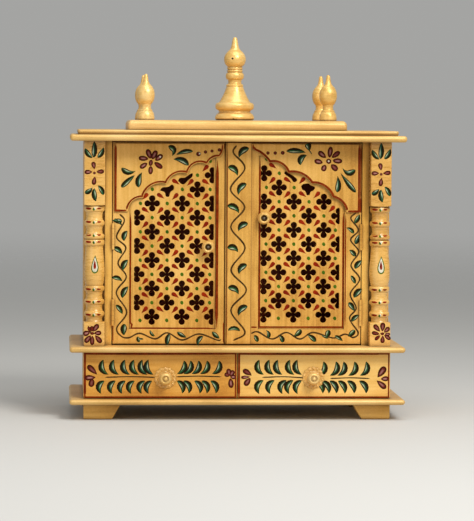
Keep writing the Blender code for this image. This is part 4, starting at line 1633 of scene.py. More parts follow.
LEFT_ARCH = ArchCut(
    cusps=(
        (0.1720, 0.4023), (0.1295, 0.4276), (0.0907, 0.4462),
        (0.0553, 0.4625), (0.0335, 0.4770), (0.0253, 0.4955),
    ),
    swells=(0.0085, 0.0112, 0.0096, 0.0112, 0.0050, -0.0020),
)
RIGHT_ARCH = ArchCut(
    cusps=(
        (0.1737, 0.4044), (0.1352, 0.4294), (0.0920, 0.4484),
        (0.0579, 0.4672), (0.0330, 0.4885), (0.0253, 0.4962),
    ),
    swells=(0.0064, 0.0083, 0.0079, 0.0080, 0.0026, -0.0008),
)


@dataclass(frozen=True)
class Leafing:
    """Painted patterns of one door, in mm.

    The border's crests are measured outwards from the middle line, and all else
    is in X and Z. The frame's lines are pairs of half width and corners.
    """

    border: tuple[Spot, ...]
    border_leaves: tuple[Stroke, ...]
    leaves: tuple[Stroke, ...]
    petals: tuple[Stroke, ...]
    dots: tuple[Place, ...]
    pearls: tuple[Place, ...]
    frame_lines: tuple[tuple[float, tuple[Spot, Spot]], ...]
    lattice_line: tuple[Spot, ...]


LEFT_LEAFING = Leafing(
    border=(
        (215, 373), (206, 360), (220, 331), (203, 311), (217, 283), (202, 258), (220, 229), (201, 194),
        (219, 165), (211, 150), (197, 147), (177, 155), (149, 145), (127, 156), (100, 143), (69, 154),
        (36, 143), (28, 144),
    ),
    border_leaves=strokes(
        (-210.2, 359, -227.9, 360.8, 5, 0, 0.5, 1, 0.4),
        (-223.9, 364.4, -210.5, 351.7, 2.6, 1.5, 0.8, 0.8, 0.4),
        (-200.1, 341.8, -206.1, 323.5, 5.2, -3.4, 0.8, 0.8, 0.7),
        (-226, 311.1, -210.3, 299.8, 5.2, 2.8, 0.7, 0.9, 0.1),
        (-199, 288.9, -208.4, 269.7, 5.6, -3.2, 0.8, 0.8, 0.4),
        (-228, 256.4, -209.2, 249.7, 4.4, 3.2, 0.7, 1, 0.1),
        (-198.1, 240.4, -209.1, 219.5, 5.6, -3, 0.9, 0.8, 0.45),
        (-220.9, 206.7, -209, 190.3, 4.6, 1.8, 0.7, 0.9, 0),
        (-204.4, 172.1, -205.7, 151.6, 6, -1.6, 0.6, 0.8, 0.3),
        (-180.2, 149.1, -177.8, 138.5, 3.6, -0.8, 0.6, 0.7, 0.2),
        (-179.8, 145, -170.2, 144.7, 1.8, 0, 0.6, 0.7, 0.2),
        (-158.4, 161.2, -149.6, 150.2, 2.8, -2.2, 0.9, 0.7, 0.1),
        (-122.6, 154.3, -126.9, 132.8, 5, -1.8, 0.6, 0.7, 0.95),
        (-108.7, 157.6, -91.7, 147.5, 4, -0.8, 0.7, 1, 0.8),
        (-61.1, 150, -70.9, 132.4, 4.6, -4, 0.8, 1.1, 0.8),
        (-44.6, 158.4, -31.1, 146, 4.2, -1, 0.7, 0.8, 0.3),
    ),
    leaves=strokes(
        (-211.2, 456.8, -185.9, 451.1, 5.2, -5.7, 0.6, 1.1, 0.2),
        (-211.8, 421.5, -187.7, 443.4, 4.8, 0.4, 0.45, 0.8, 0.5),
        (-180.2, 421.3, -173.8, 449, 6, 3.3, 0.7, 1.2, 0.7),
        (-126.7, 496.3, -120.2, 478.3, 5.6, 7.4, 0.6, 1.1, 0.1),
        (-81.9, 487.2, -112.2, 480.7, 4.3, -3, 0.6, 0.9, 0.6),
        (-89.6, 461.4, -117.3, 472.5, 5.9, -4.8, 0.7, 1, 0.8),
    ),
    petals=strokes(
        (-165, 490.8, -158.6, 473.7, 5.1, 0, 0.45, 0.6, 0.5),
        (-147.9, 488.3, -156.2, 472.7, 5.1, 0, 0.45, 0.6, 0.6),
        (-180.6, 474.7, -163.1, 473.4, 4.8, 0, 0.45, 0.6, 0.7),
        (-178, 456.6, -164.9, 465.4, 4.6, 0, 0.45, 0.6, 0.9),
        (-159, 445, -158.3, 459.9, 4.4, 0, 0.5, 0.5, 0.5),
        (-137.4, 456.4, -151.8, 466.9, 4.7, 0, 0.45, 0.6, 0.1),
        (-137.2, 480.8, -150.2, 470.3, 5, 0, 0.45, 0.6, 0.7),
        (-157.5, 471.6, -159.3, 460.3, 3.8, 0, 0.5, 0.5, 0.3),
    ),
    dots=((-71.7, 482.6, 4.3), (-58.9, 486.3, 3.1), (-47.1, 488.1, 2.9), (-33.6, 490.2, 3.2)),
    pearls=((-69.7, 483.3, 1.5), (-141.4, 477, 1.7)),
    frame_lines=(
        (0.9, ((-225.8, 217), (-225.8, 137.5))),
        (2.3, ((-36.6, 474), (-36.6, 162.8))),
        (0.8, ((-24.5, 176), (-24.5, 138))),
        (0.8, ((-24.9, 502), (-24.9, 492))),
    ),
    lattice_line=((-194.6, 375), (-194.6, 174.5), (-191.6, 171), (-192.6, 164), (-40.2, 164)),
)
RIGHT_LEAFING = Leafing(
    border=(
        (218, 377), (208, 366), (222, 345), (208, 327), (223, 305), (209, 280), (225, 255), (208, 228),
        (219, 202), (207, 183), (223, 157), (214, 148), (199, 154), (177, 147), (140, 157), (116, 145),
        (91, 157), (65, 145), (39, 158), (26, 155),
    ),
    border_leaves=strokes(
        (223.8, 373.5, 214.4, 357, 4.6, 1, 0.8, 0.7, 0.2),
        (199.6, 349, 213.4, 338.5, 3.8, 2.4, 0.9, 0.6, 0.1),
        (224.5, 337.2, 216, 319.1, 5.2, 0.6, 0.8, 0.7, 0.9),
        (205.6, 308.4, 216.9, 296.5, 4.6, 1.6, 0.9, 0.7, 0.3),
        (228.7, 289.2, 216.3, 274, 5.2, -1.6, 0.8, 0.7, 0.6),
        (208.7, 261.7, 217.1, 246.5, 4, 1, 0.8, 0.8, 0.1),
        (229.1, 237, 214.9, 221.2, 5.8, -1.8, 0.7, 0.7, 0.7),
        (204.9, 212, 215.9, 196.6, 5, 1, 0.6, 0.9, 0.6),
        (224.4, 189.3, 209.8, 176.8, 4.4, -1.4, 0.8, 0.8, 0.5),
        (217.2, 161.7, 204.5, 149.9, 5, 0.6, 0.6, 0.8, 0.1),
        (32.4, 151.7, 38.5, 139.5, 4.2, 1, 0.6, 0.6, 0.1),
        (53.4, 161.5, 57.5, 146.8, 3.8, 3.4, 1.2, 0.6, 0.2),
        (75.8, 152.3, 84, 138.8, 4.6, 3.2, 1.1, 0.5, 0.4),
        (118.3, 162.3, 104.3, 149.8, 5, 1.6, 0.6, 1, 0.1),
        (130.2, 153.1, 145.3, 140.3, 4.8, 1.2, 0.9, 0.6, 0.4),
        (169.1, 161.6, 164, 146.9, 5.2, 0.6, 0.5, 0.7, 0.05),
        (155.7, 152.1, 168.6, 146.2, 1.9, -0.4, 0.8, 0.7, 0.1),
        (180.2, 151, 194.6, 141.5, 3.6, 1, 0.7, 0.9, 0.1),
    ),
    leaves=strokes(
        (126.8, 502.5, 130.6, 489.1, 6, 0.6, 0.3, 0.9, 0.5),
        (129.3, 490.8, 135.4, 483, 1.2, 0.4, 0.4, 0.6, 0.5),
        (88.7, 488.5, 124.2, 486.1, 5.2, 2.2, 0.7, 1, 0.4),
        (114.7, 463.5, 126.4, 481.2, 5.9, 5.9, 0.7, 0.9, 0.6),
        (214.9, 455.2, 191.4, 459.1, 5.6, 8.1, 0.6, 1.3, 0.5),
        (216.5, 413.9, 187.8, 449.6, 4.8, 0.9, 0.6, 1.2, 0.6),
        (181.7, 414, 182.4, 444.1, 5.5, -2.4, 0.6, 1.2, 0.8),
    ),
    petals=strokes(
        (170.1, 497.3, 167.5, 477.2, 4.9, 0, 0.5, 0.6, 0.6),
        (186.4, 488.3, 171.9, 477.1, 4.7, 0, 0.45, 0.7, 0.2),
        (191, 470.6, 173.7, 471.8, 4.9, 0, 0.45, 0.6, 0.9),
        (182.3, 453.9, 170.9, 464.5, 5.4, 0, 0.45, 0.6, 0.3),
        (155.2, 452.4, 160.2, 464.1, 5.1, 0, 0.45, 0.6, 0.7),
        (139.9, 471.4, 155.3, 468, 4.9, 0, 0.45, 0.6, 0.9),
        (147.4, 488.1, 160.9, 476.8, 5.1, 0, 0.45, 0.7, 0.8),
    ),
    dots=((166.2, 470.5, 4.8), (55.1, 485, 3.1), (68.3, 485.1, 3.2), (82, 485.5, 3.6)),
    pearls=((166.2, 470.7, 1.8),),
    frame_lines=(
        (0.9, ((225.8, 501), (225.8, 400))),
        (1.5, ((225.6, 404), (225.6, 376))),
        (1.5, ((25.5, 166.6), (38.0, 166.6))),
        (1.1, ((198.6, 377), (198.6, 165))),
    ),
    lattice_line=((194.6, 377), (194.6, 166.6), (41.2, 166.6), (41.2, 480)),
)


LEFT_FIRST_CELL = (0.0457, 0.1850)
RIGHT_FIRST_CELL = (0.0490, 0.1892)
LEFT_CUT_HOLES = {
    (10, 2): (
        (-108.5, 433.1), (-104.9, 438.6), (-95.8, 439.4), (-87.6, 445.1), (-82.1, 447.1),
        (-83, 440.5), (-90.3, 434.1), (-96.6, 427.7), (-102.1, 427.7),
    ),
    (9, 3): (
        (-141.2, 415.7), (-136.7, 421.2), (-126.7, 422.1), (-119.4, 426.5), (-115.7, 422.2),
        (-116.8, 416.7), (-121.9, 413), (-124.8, 404.8), (-130.2, 404.8), (-132.8, 412.2),
    ),
}
RIGHT_CUT_HOLES = {
    (10, 2): (
        (85.1, 448.2), (88.7, 451.9), (96.1, 447.2), (102.5, 443.2), (109, 437),
        (106.8, 432.4), (102, 432.6), (98.4, 437.9), (91, 443.2),
    ),
    (9, 3): (
        (116.7, 423.9), (120, 428.3), (130.1, 429.5), (134.7, 426.2), (142, 422.9), (139.5, 417.1),
        (134, 414.1), (132.2, 408.6), (127.1, 408.6), (124.5, 415.2), (119.4, 417.7),
    ),
}


@dataclass
class Door:
    """One door: painted frame, pierced lattice, lobed arch board, knob and painting.

    The lattice is a chequer of pierced and solid cells. A cell is named by its
    row from below and its column from the middle of the cabinet. The cut holes
    are the ones that the carver shortened below the arch.
    """

    side: Side
    palette: Palette
    leafing: Leafing
    arch_cut: ArchCut
    first_cell: Spot
    cut_holes: dict[Cell, tuple[Spot, ...]]
    blind_cell: Cell | None = None
    frame_front: float = -0.1005
    lattice_front: float = -0.0975
    arch_front: float = -0.1038
    easing: float = 0.0009
    pitch_x: float = 0.0274
    pitch_z: float = 0.02587
    columns: int = 6
    rows: int = 12
    pierced: tuple[float, float, float] = (0.0426, 0.1880, 0.4700)
    lobe_radius: float = 0.0058
    lobe_reach: Spot = (0.0084, 0.0090)
    hole_heart: float = 0.0036
    hole_reach: float = 0.015
    lattice_easing: float = 0.0006
    hidden_margin: float = 0.010
    arch_edges: Spot = (0.0253, 0.2238)
    arch_foot: Spot = (0.1994, 0.3770)
    arch_steps: int = 14
    bar_margin: float = 0.002
    drop_arch_margin: float = 0.006
    dot_arch_margin: float = 0.004
    right_lean: float = 0.98
    left_lean: float = -0.75
    right_shift: float = 1.6
    drop_reach: Spot = (8.0, 9.0)
    edge_line_inset: float = 2.8
    edge_line_end: Spot = (28.2, 501.5)
    board_line_top: float = 502.0
    board_line_corner: Spot = (222.0, 379.2)
    board_line_half_width: float = 1.8
    edge_line_half_width: float = 1.6
    # Thin dark line along the right arch board's edge: painted shade.
    rim_shade_inset: float = 0.9
    rim_shade_half_width: float = 0.5
    vine_half_width: float = 1.5

    def __post_init__(self) -> None:
        """Work out the names of the door's body and solids."""
        self.word = self.side.word
        self.body = Body(f"{self.word}_door")

    def at(self, spot: Spot) -> Spot:
        """Carry a place drawn for the right side over to this side."""
        return (self.side.value * spot[0], spot[1])

    def door_frame(self) -> None:
        """Make the two stiles and two rails under their one coat of paint."""
        parts = ("outer_stile", "inner_stile", "bottom_rail", "top_rail")
        boxes = [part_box(f"{self.word}_door_{part}") for part in parts]
        low = (min(b[0].x for b in boxes), min(b[0].z for b in boxes))
        high = (max(b[1].x for b in boxes), max(b[1].z for b in boxes))
        opening_x = sorted(
            (boxes[0][1].x, boxes[1][0].x) if self.side is Side.LEFT else (boxes[1][1].x, boxes[0][0].x)
        )
        opening = rectangle((opening_x[0], boxes[2][1].z), (opening_x[1], boxes[3][0].z))
        thickness = boxes[0][1].y - boxes[0][0].y
        outlines = [drawn_in(rectangle(low, high)), drawn_in(opening, hole=True)]
        plate = cut_plate(f"{self.word}_door_frame", outlines, boxes[0][0].y, thickness, self.easing)
        names = [f"{self.word}_door_{part}" for part in parts]
        present(plate, self.body, self.palette.upright, names)

    def arch_curve(self) -> Array:
        """Draw the lower edge of the arch board as circular arcs from cusp to cusp.

        Each arc stands on its chord and rises by its swell to the right of the
        way, so its radius is (chord squared over 4 plus swell squared) over
        twice the swell.

        Returns:
            Points as (way from the middle, height).
        """
        parts = []
        start = np.array(self.arch_foot)
        t = np.linspace(-1.0, 1.0, self.arch_steps, endpoint=False)
        for cusp, swell in zip(self.arch_cut.cusps, self.arch_cut.swells):
            end = np.array(cusp)
            chord = float(np.linalg.norm(end - start))
            along = (end - start) / chord
            across = np.array([along[1], -along[0]])
            radius = (chord ** 2 / 4 + swell ** 2) / (2 * abs(swell))
            reach = math.asin(chord / 2 / radius)
            run = chord / 2 + radius * np.sin(reach * t)
            rise = np.sign(swell) * radius * (np.cos(reach * t) - math.cos(reach))
            parts.append(start + along * run[:, None] + across * rise[:, None])
            start = end
        parts.append(start[None, :])
        return np.vstack(parts)

    def arch_height(self, x: float) -> float:
        """Height of the arch's edge at a way from the middle."""
        curve = self.arch_curve()[::-1]
        return float(np.interp(x, curve[:, 0], curve[:, 1]))

    def hole(self, x: float, z: float, inset: float) -> Array:
        """Draw one pierced hole.

        In each direction it reaches as far as the farthest of four circles that
        stand off its middle, or as the line that cuts the pattern off. All of
        them are wider by the inset.

        Args:
            x: Way from the middle of the cabinet to the hole's middle.
            z: Height of the hole's middle.
            inset: Way into the board.

        Returns:
            Points of the outline in X and Z.
        """
        angle = full_turn(72)
        reach = np.zeros_like(angle)
        for turn in range(4):
            off = self.lobe_reach[turn % 2]
            away = angle - turn * math.pi / 2
            inside = (self.lobe_radius + inset) ** 2 - (off * np.sin(away)) ** 2
            far = off * np.cos(away) + np.sqrt(np.maximum(inside, 0.0))
            reach = np.maximum(reach, np.where((inside > 0) & (np.cos(away) > 0), far, 0.0))
        reach = np.maximum(reach, self.hole_heart + inset)
        inner, outer, top = self.pierced
        walls = ((math.pi, x - inner), (0.0, outer - x), (math.pi / 2, top - z))
        for direction, distance in walls:
            toward = np.cos(angle - direction)
            limit = np.where(toward > 1e-6, (distance + inset) / np.maximum(toward, 1e-6), np.inf)
            reach = np.minimum(reach, limit)
        turn = self.side.value
        return np.stack([turn * (x + reach * np.cos(angle)), z + reach * np.sin(angle)], axis=1)

    def cells(self, odd: int) -> list[Spot]:
        """Find the centres of every other cell of the pattern.

        Args:
            odd: 0 for the pierced cells, 1 for the solid ones between them.

        Returns:
            Centres as (way from the middle, height).
        """
        found = []
        for row in range(self.rows):
            for column in range(self.columns):
                if (row + column) % 2 == odd and (row, column) != self.blind_cell:
                    found.append(self.place(row, column))
        return found

    def place(self, row: int, column: int) -> Spot:
        """Centre of one cell."""
        return self.first_cell[0] + column * self.pitch_x, self.first_cell[1] + row * self.pitch_z

    def lattice(self) -> None:
        """Make the pierced panel."""
        node = f"{self.word}_door_lattice"
        low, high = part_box(node)
        outlines = [drawn_in(rectangle((low.x, low.z), (high.x, high.z)))]
        skipped = [self.place(*cell) for cell in self.cut_holes]
        for x, z in self.cells(0):
            in_view = z - self.hole_reach <= self.arch_height(x) - self.hidden_margin
            if in_view and (x, z) not in skipped:
                outlines.append(partial(self.hole, x, z))
        for loop in self.cut_holes.values():
            outlines.append(drawn_in(smooth_curve([*loop, loop[0]], 4)[:-1] * MM, True))
        panel = cut_plate(f"{node}_pierced", outlines, low.y, high.y - low.y, self.lattice_easing)
        present(panel, self.body, self.palette.lattice, (node,))

    def arch(self) -> None:
        """Make the lobed board."""
        node = f"{self.word}_door_arch"
        low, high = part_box(node)
        inner, outer = self.arch_edges
        corners = np.array([(inner, high.z), (outer, high.z), (outer, self.arch_foot[1])])
        outline = np.vstack([corners, self.arch_curve()])
        outline = outline * np.array([self.side.value, 1.0])
        board = cut_plate(f"{node}_board", [drawn_in(outline)], low.y, high.y - low.y, self.easing)
        present(board, self.body, self.palette.upright, (node,))

    def red_drops(self) -> list[Stroke]:
        """Place the red drops, fat above and thin below, on the slanting bars.

        Returns:
            The drops in X and Z.
        """
        inner, outer, _ = self.pierced
        margin, turn = self.bar_margin, self.side.value
        drops = []
        for x, z in self.cells(0):
            for across, up in ((1, 1), (1, -1), (-1, 1), (-1, -1)):
                bar_x, bar_z = x + across * self.pitch_x / 2, z + up * self.pitch_z / 2
                shown = inner + margin < bar_x < outer - margin and self.first_cell[1] < bar_z
                if not shown or bar_z > self.arch_height(bar_x) - self.drop_arch_margin:
                    continue
                if across < 0 and bar_x > inner + self.pitch_x * 0.6:
                    continue
                to_right = up * across * turn > 0
                lean = self.right_lean if to_right else self.left_lean
                way = np.array([math.sin(lean), -math.cos(lean)])
                middle = np.array([bar_x * turn, bar_z]) / MM
                if to_right:
                    middle = middle + np.array([self.right_shift, 0.0])
                start = tuple(middle - way * self.drop_reach[0])
                end = tuple(middle + way * self.drop_reach[1])
                drops.append(Stroke(start, end, 3.8, 0.8, 0.45, 1.5))
        return drops

    def green_dots(self) -> list[Stroke]:
        """Place the green dots where the bars cross.

        Returns:
            The dots in X and Z.
        """
        inner, outer, _ = self.pierced
        touch = Stroke((-1.4, 3.3), (0.8, -3.5), 3.1, 0.4, 0.5, 0.55)
        dots = []
        for x, z in self.cells(1):
            if z > self.arch_height(x) - self.dot_arch_margin:
                continue
            shift_x = -0.006 if x > outer - 0.010 else (0.004 if x < inner + 0.008 else 0.0)
            shift_z = -0.0065 if z < self.first_cell[1] + 0.002 else 0.0
            dots.append(touch.moved(self.side.value * (x + shift_x) / MM, (z + shift_z) / MM))
        return dots

    def paint(self) -> None:
        """Paint the frame, the lattice and the arch board."""
        on_frame, on_arch = flat_ground(self.frame_front), flat_ground(self.arch_front)
        on_lattice = flat_ground(self.lattice_front)
        leaves, board_leaves = Enamel(on_frame), Enamel(on_arch)
        vine, petals = Enamel(on_frame, VINE_LIFT), Enamel(on_arch)
        pearls = Enamel(flat_ground(self.arch_front - 0.00016), 0.16)
        reds, greens = Enamel(on_lattice, 0.25), Enamel(on_lattice, 0.20)
        leaves.touches(self.leafing.border_leaves, 11)
        vine.vine([self.at(spot) for spot in self.leafing.border], self.vine_half_width)
        board_leaves.touches(self.leafing.leaves, 11)
        petals.touches(self.leafing.petals)
        for x, z, radius in self.leafing.dots:
            petals.touch(dot((x, z), radius, 0.1), 7, 8)
        for x, z, radius in self.leafing.pearls:
            pearls.touch(dot((x, z), radius), 7, 8)
        reds.touches(self.red_drops(), 8, 8)
        greens.touches(self.green_dots(), 7, 8)
        word, palette = self.word, self.palette
        leaves.finish(f"{word}_door_border_leaves", self.body, palette.leaf, Slot.LEAF)
        vine.finish(f"{word}_door_border_vine", self.body, palette.vine, Slot.LINE)
        board_leaves.finish(f"{word}_door_arch_leaves", self.body, palette.leaf, Slot.LEAF)
        petals.finish(f"{word}_door_flower", self.body, palette.petal, Slot.MAROON)
        pearls.finish(f"{word}_door_pearls", self.body, palette.white, Slot.BRIGHT)
        reds.finish(f"{word}_door_red_drops", self.body, palette.red, Slot.MAROON)
        greens.finish(f"{word}_door_green_dots", self.body, palette.green, Slot.LEAF)

    def lines(self) -> None:
        """Paint the lines round the frame, the lattice and the arch board, and on the right door a line
        of painted shade along the arch board's edge.
        """
        depths = (self.frame_front, self.arch_front, self.lattice_front)
        on_frame, on_arch, on_lattice = (Enamel(flat_ground(depth), LINE_LIFT) for depth in depths)
        edge = self.arch_curve() / MM
        aside = offsets(edge, False)
        curve = np.vstack([(edge - aside * self.edge_line_inset)[1:], [self.edge_line_end]])
        outer, level = self.board_line_corner
        corners = [(outer, self.board_line_top), (outer, level), (curve[0, 0] - 0.5, level)]
        on_arch.straight([self.at(spot) for spot in corners], self.board_line_half_width)
        on_arch.ribbon(np.array([self.at(spot) for spot in curve]), self.edge_line_half_width)
        # Right door only: a thin dark line just inside the arch board's edge, painted shade where the
        # edge meets the lattice.
        if self.side is Side.RIGHT:
            rim = (edge - aside * self.rim_shade_inset)[1:-1]
            on_arch.ribbon(np.array([self.at(spot) for spot in rim]), self.rim_shade_half_width)
        for half_width, ends in self.leafing.frame_lines:
            on_frame.straight(ends, half_width)
        on_lattice.straight(self.leafing.lattice_line, self.edge_line_half_width)
        word, palette = self.word, self.palette
        on_frame.finish(f"{word}_door_frame_lines", self.body, palette.line, Slot.LINE)
        on_arch.finish(f"{word}_door_arch_lines", self.body, palette.line, Slot.LINE)
        on_lattice.finish(f"{word}_door_lattice_lines", self.body, palette.line, Slot.LINE)

    def build(self) -> None:
        """Make and paint the door."""
        self.door_frame()
        self.lattice()
        self.arch()
        Knob(f"{self.word}_door_knob", self.body, self.palette, DOOR_KNOB, True).build()
        self.paint()
        self.lines()


@dataclass
class MiddleStrip:
    """Raised strip on the right door that covers the gap between the doors."""

    palette: Palette
    front: float = -0.1043
    crests: tuple[Spot, ...] = (
        (-2, 499), (-8, 485), (13, 457), (-13, 419), (13, 386), (-12, 350), (14, 312), (-11, 271),
        (17, 235), (-11, 198), (15, 158), (-7, 142),
    )
    leaf_tips: tuple[tuple[Spot, Spot], ...] = (
        ((20.3, 493), (2.2, 475.7)), ((-17.8, 459.2), (-0.4, 442.9)), ((16.2, 428.4), (1.7, 408.3)),
        ((-18.3, 388.1), (2.8, 374.6)), ((19.3, 355.5), (2.1, 341.7)), ((-17.8, 311.5), (1.4, 303.4)),
        ((18, 280.6), (3.5, 263.2)), ((-16.5, 238.5), (2.8, 226.6)), ((19.4, 204.7), (3, 187.3)),
    )
    easing: float = 0.0010
    leaf_half_width: float = 6.1
    leaf_bow: float = 5.4
    edge_shade_inset: float = 0.8

    def build(self) -> None:
        """Make the strip, paint its vine and a line of painted shade along its left edge."""
        node = "right_door_middle_strip"
        low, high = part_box(node)
        outline = drawn_in(rectangle((low.x, low.z), (high.x, high.z)))
        strip = cut_plate(f"{node}_board", [outline], low.y, high.y - low.y, self.easing)
        present(strip, Body.RIGHT_DOOR, self.palette.upright, (node,))
        face = flat_ground(self.front)
        vine, leaves, lines = Enamel(face, VINE_LIFT), Enamel(face), Enamel(face, LINE_LIFT)
        vine.vine(self.crests, 1.6)
        for start, end in self.leaf_tips:
            bow, tint = (-self.leaf_bow, 0.75) if start[0] > end[0] else (self.leaf_bow, 0.1)
            leaves.touch(Stroke(start, end, self.leaf_half_width, bow, 0.62, 1.05, tint), 11)
        leaves.touch(Stroke((-16.1, 160.7), (5.9, 159.9), 4.0, 5.0, 0.6, 0.6, 0.3))
        # Thin dark line along the strip's left edge: painted shade of the gap beside the left door.
        left = low.x / MM + self.edge_shade_inset
        lines.straight([(left, high.z / MM - 2), (left, low.z / MM + 2)], 0.5)
        vine.finish("middle_strip_vine", Body.RIGHT_DOOR, self.palette.vine, Slot.LINE)
        leaves.finish("middle_strip_leaves", Body.RIGHT_DOOR, self.palette.leaf, Slot.LEAF)
        lines.finish("middle_strip_edge_shade", Body.RIGHT_DOOR, self.palette.line, Slot.LINE)


@dataclass
class Hinge:
    """Painted butt hinge: a barrel of five knuckles and its fixed leaf."""

    side: Side
    level: Level
    palette: Palette
    knuckles: int = 5
    radius: float = 0.0026
    seam: float = 0.00045
    seam_width: float = 0.0004
    axis: float = 0.2265
    leaf: Spot = (0.2275, 0.2284)
    leaf_setback: float = 0.001

    def build(self) -> None:
        """Make the barrel and the leaf in one piece.

        The barrel's radius is full along each knuckle and falls by the seam at
        each joint between two.
        """
        node = f"{self.side.word}_door_{self.level.value}_hinge"
        low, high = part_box(node)
        turn = self.side.value
        axis_y = low.y + self.radius
        length = (high.z - low.z) / self.knuckles
        joint = self.radius - self.seam
        ends = ((joint, 0.0), (self.radius, self.seam_width), (self.radius, length - self.seam_width))
        profile = [(0.0, low.z)]
        for number in range(self.knuckles):
            start = low.z + number * length
            profile += [(radius, start + way) for radius, way in ends]
            profile.append((joint, start + length))
        profile.append((0.0, high.z))
        angle = full_turn(20)
        shell = Shell()
        shell.grid(turn_round(np.array(profile), angle) + np.array([turn * self.axis, axis_y, 0.0]))
        left, right = sorted(turn * way for way in self.leaf)
        ring = rectangle((left, axis_y + self.leaf_setback), (right, high.y))
        shell.drum(np.stack([np.column_stack([ring, np.full(4, z)]) for z in (low.z, high.z)]))
        hinge = shell.build(f"{node}_knuckles", 30.0)
        present(hinge, Body.CABINET, self.palette.hinge, (node,))


# Drawers


@dataclass(frozen=True)
class LeafRow:
    """Row of crescent leaves on a drawer front, in mm."""

    tops: tuple[float, ...]
    levels: Spot
    lean: float
    bow: float


@dataclass(frozen=True)
class DrawerLeafing:
    """Painted pattern of one drawer front, in mm."""

    rows: tuple[LeafRow, ...]
    stems: tuple[tuple[Spot, Spot], ...]
    flowers: tuple[Stroke, ...]


LEFT_DRAWER_LEAFING = DrawerLeafing(
    rows=(
        LeafRow((-243.3, -224.3, -204.3, -188, -172.6, -161.7), (109, 82), 9, -8.4),
        LeafRow((-97.2, -85.4, -70.8, -55.3, -33.5), (107.5, 83.5), -12.5, 7.4),
        LeafRow((-241.3, -221.3, -203.2, -186.8, -167.8, -155.1), (70.5, 47), -6, -7.8),
        LeafRow((-109.8, -98, -78, -65.2, -48.8), (70.5, 47.5), 9.5, 6.4),
    ),
    stems=(((-241, 77), (-148, 77)), ((-112, 78), (-28, 78))),
    flowers=strokes(
        (-272.1, 98.6, -254.6, 81.9, 5.4, 0, 0.5, 1, 0.3),
        (-278, 75.7, -257.5, 76.8, 5.2, 0, 0.5, 0.9, 0.9),
        (-266.5, 59.3, -263, 74.6, 5.6, 0, 0.5, 0.7, 0.3),
        (-23.1, 83.9, -14.4, 79.1, 4.2, 0, 0.5, 0.7, 0.2),
        (-16.6, 93, -14, 79.5, 4.8, 0, 0.5, 0.7, 0.5),
        (-6.4, 89.7, -13.3, 79.1, 4.6, 0, 0.5, 0.7, 0.6),
        (-2.3, 77.7, -12.9, 77.7, 4.2, 0, 0.5, 0.7, 1),
        (-10.6, 57.6, -12.5, 75.1, 5.2, 0, 0.5, 0.7, 0.8),
    ),
)
RIGHT_DRAWER_LEAFING = DrawerLeafing(
    rows=(
        LeafRow((40.3, 58.6, 74.1, 96, 109.7), (109, 82), 8, -8.2),
        LeafRow((157.3, 180.1, 193.9, 214, 235.1), (106, 80.5), -11, 8),
        LeafRow((47.8, 68, 90.2, 102.5, 118), (71.5, 46.5), -7.5, -8.4),
        LeafRow((143.6, 154.8, 168.5, 184, 201, 223), (70.5, 47.5), 12.5, 5.6),
    ),
    stems=(((45, 77), (124, 76)), ((169, 75), (243, 75))),
    flowers=strokes(
        (10, 90.4, 26.1, 80.2, 5.2, 0.8, 0.5, 0.9, 0.2),
        (6.8, 76.6, 23.2, 78, 3.2, 0, 0.5, 0.9, 1),
        (13.5, 62, 23.9, 75.8, 5.4, 0, 0.5, 0.8, 0.5),
        (270.7, 96.5, 256.6, 77, 6.4, 0, 0.5, 0.9, 0.6),
        (277.5, 74.9, 262.5, 74.1, 4.8, 0, 0.5, 0.8, 1),
        (272.2, 56.9, 254.8, 71.6, 5.4, 0, 0.5, 1, 0.7),
    ),
)


@dataclass
class Drawer:
    """One drawer: painted front, bare box, carved rose and knob."""

    side: Side
    palette: Palette
    leafing: DrawerLeafing
    face: float = -0.1275
    easing: float = 0.0012
    leaf_half_width: float = 5.7
    tint_step: float = 0.37
    line_insets: tuple[float, float, float] = (2.6, 2.3, 2.0)

    def front(self) -> None:
        """Make the front board."""
        node = f"{self.side.word}_drawer_front"
        low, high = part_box(node)
        board = soft_board(f"{node}_painted", low, high, self.easing)
        paint = self.palette.drawer_fronts[self.side]
        present(board, Body(f"{self.side.word}_drawer"), paint, (node,))

    def paint(self) -> None:
        """Paint the leaf rows, stems, end flowers and the outline."""
        ground = flat_ground(self.face)
        leaves, petals = Enamel(ground), Enamel(ground)
        stems, outline = Enamel(ground, VINE_LIFT), Enamel(ground, LINE_LIFT)
        for row in self.leafing.rows:
            for number, x in enumerate(row.tops):
                start, end = (x, row.levels[0]), (x + row.lean, row.levels[1])
                shade = (number * self.tint_step) % 1.0
                leaves.touch(Stroke(start, end, self.leaf_half_width, row.bow, 0.75, 0.9, shade), 11)
        for start, end in self.leafing.stems:
            middle = ((start[0] + end[0]) / 2, start[1] + 1.2)
            stems.vine((start, middle, end), 1.1)
        petals.touches(self.leafing.flowers)
        low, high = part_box(f"{self.side.word}_drawer_front")
        at_side, at_top, at_bottom = self.line_insets
        left, right = low.x / MM + at_side, high.x / MM - at_side
        top, bottom = high.z / MM - at_top, low.z / MM + at_bottom
        outline.straight([(left, bottom), (left, top), (right, top), (right, bottom)], 1.3, closed=True)
        outline.straight([(left, bottom + 1), (left, top), (right, top)], 2.0)
        word, body = self.side.word, Body(f"{self.side.word}_drawer")
        leaves.finish(f"{word}_drawer_leaves", body, self.palette.leaf, Slot.LEAF)
        petals.finish(f"{word}_drawer_flowers", body, self.palette.petal, Slot.MAROON)
        stems.finish(f"{word}_drawer_stems", body, self.palette.vine, Slot.LINE)
        outline.finish(f"{word}_drawer_outline", body, self.palette.line, Slot.LINE)

    def build(self) -> None:
        """Make and paint the drawer."""
        word = self.side.word
        self.front()
        box_parts = ("inner_wall", "outer_wall", "back", "bottom")
        repaint([f"{word}_drawer_{part}" for part in box_parts], self.palette.wood)
        Rose(self.side, self.palette).build()
        Knob(f"{word}_drawer_knob", Body(f"{word}_drawer"), self.palette, DRAWER_KNOB).build()
        self.paint()


# Studio


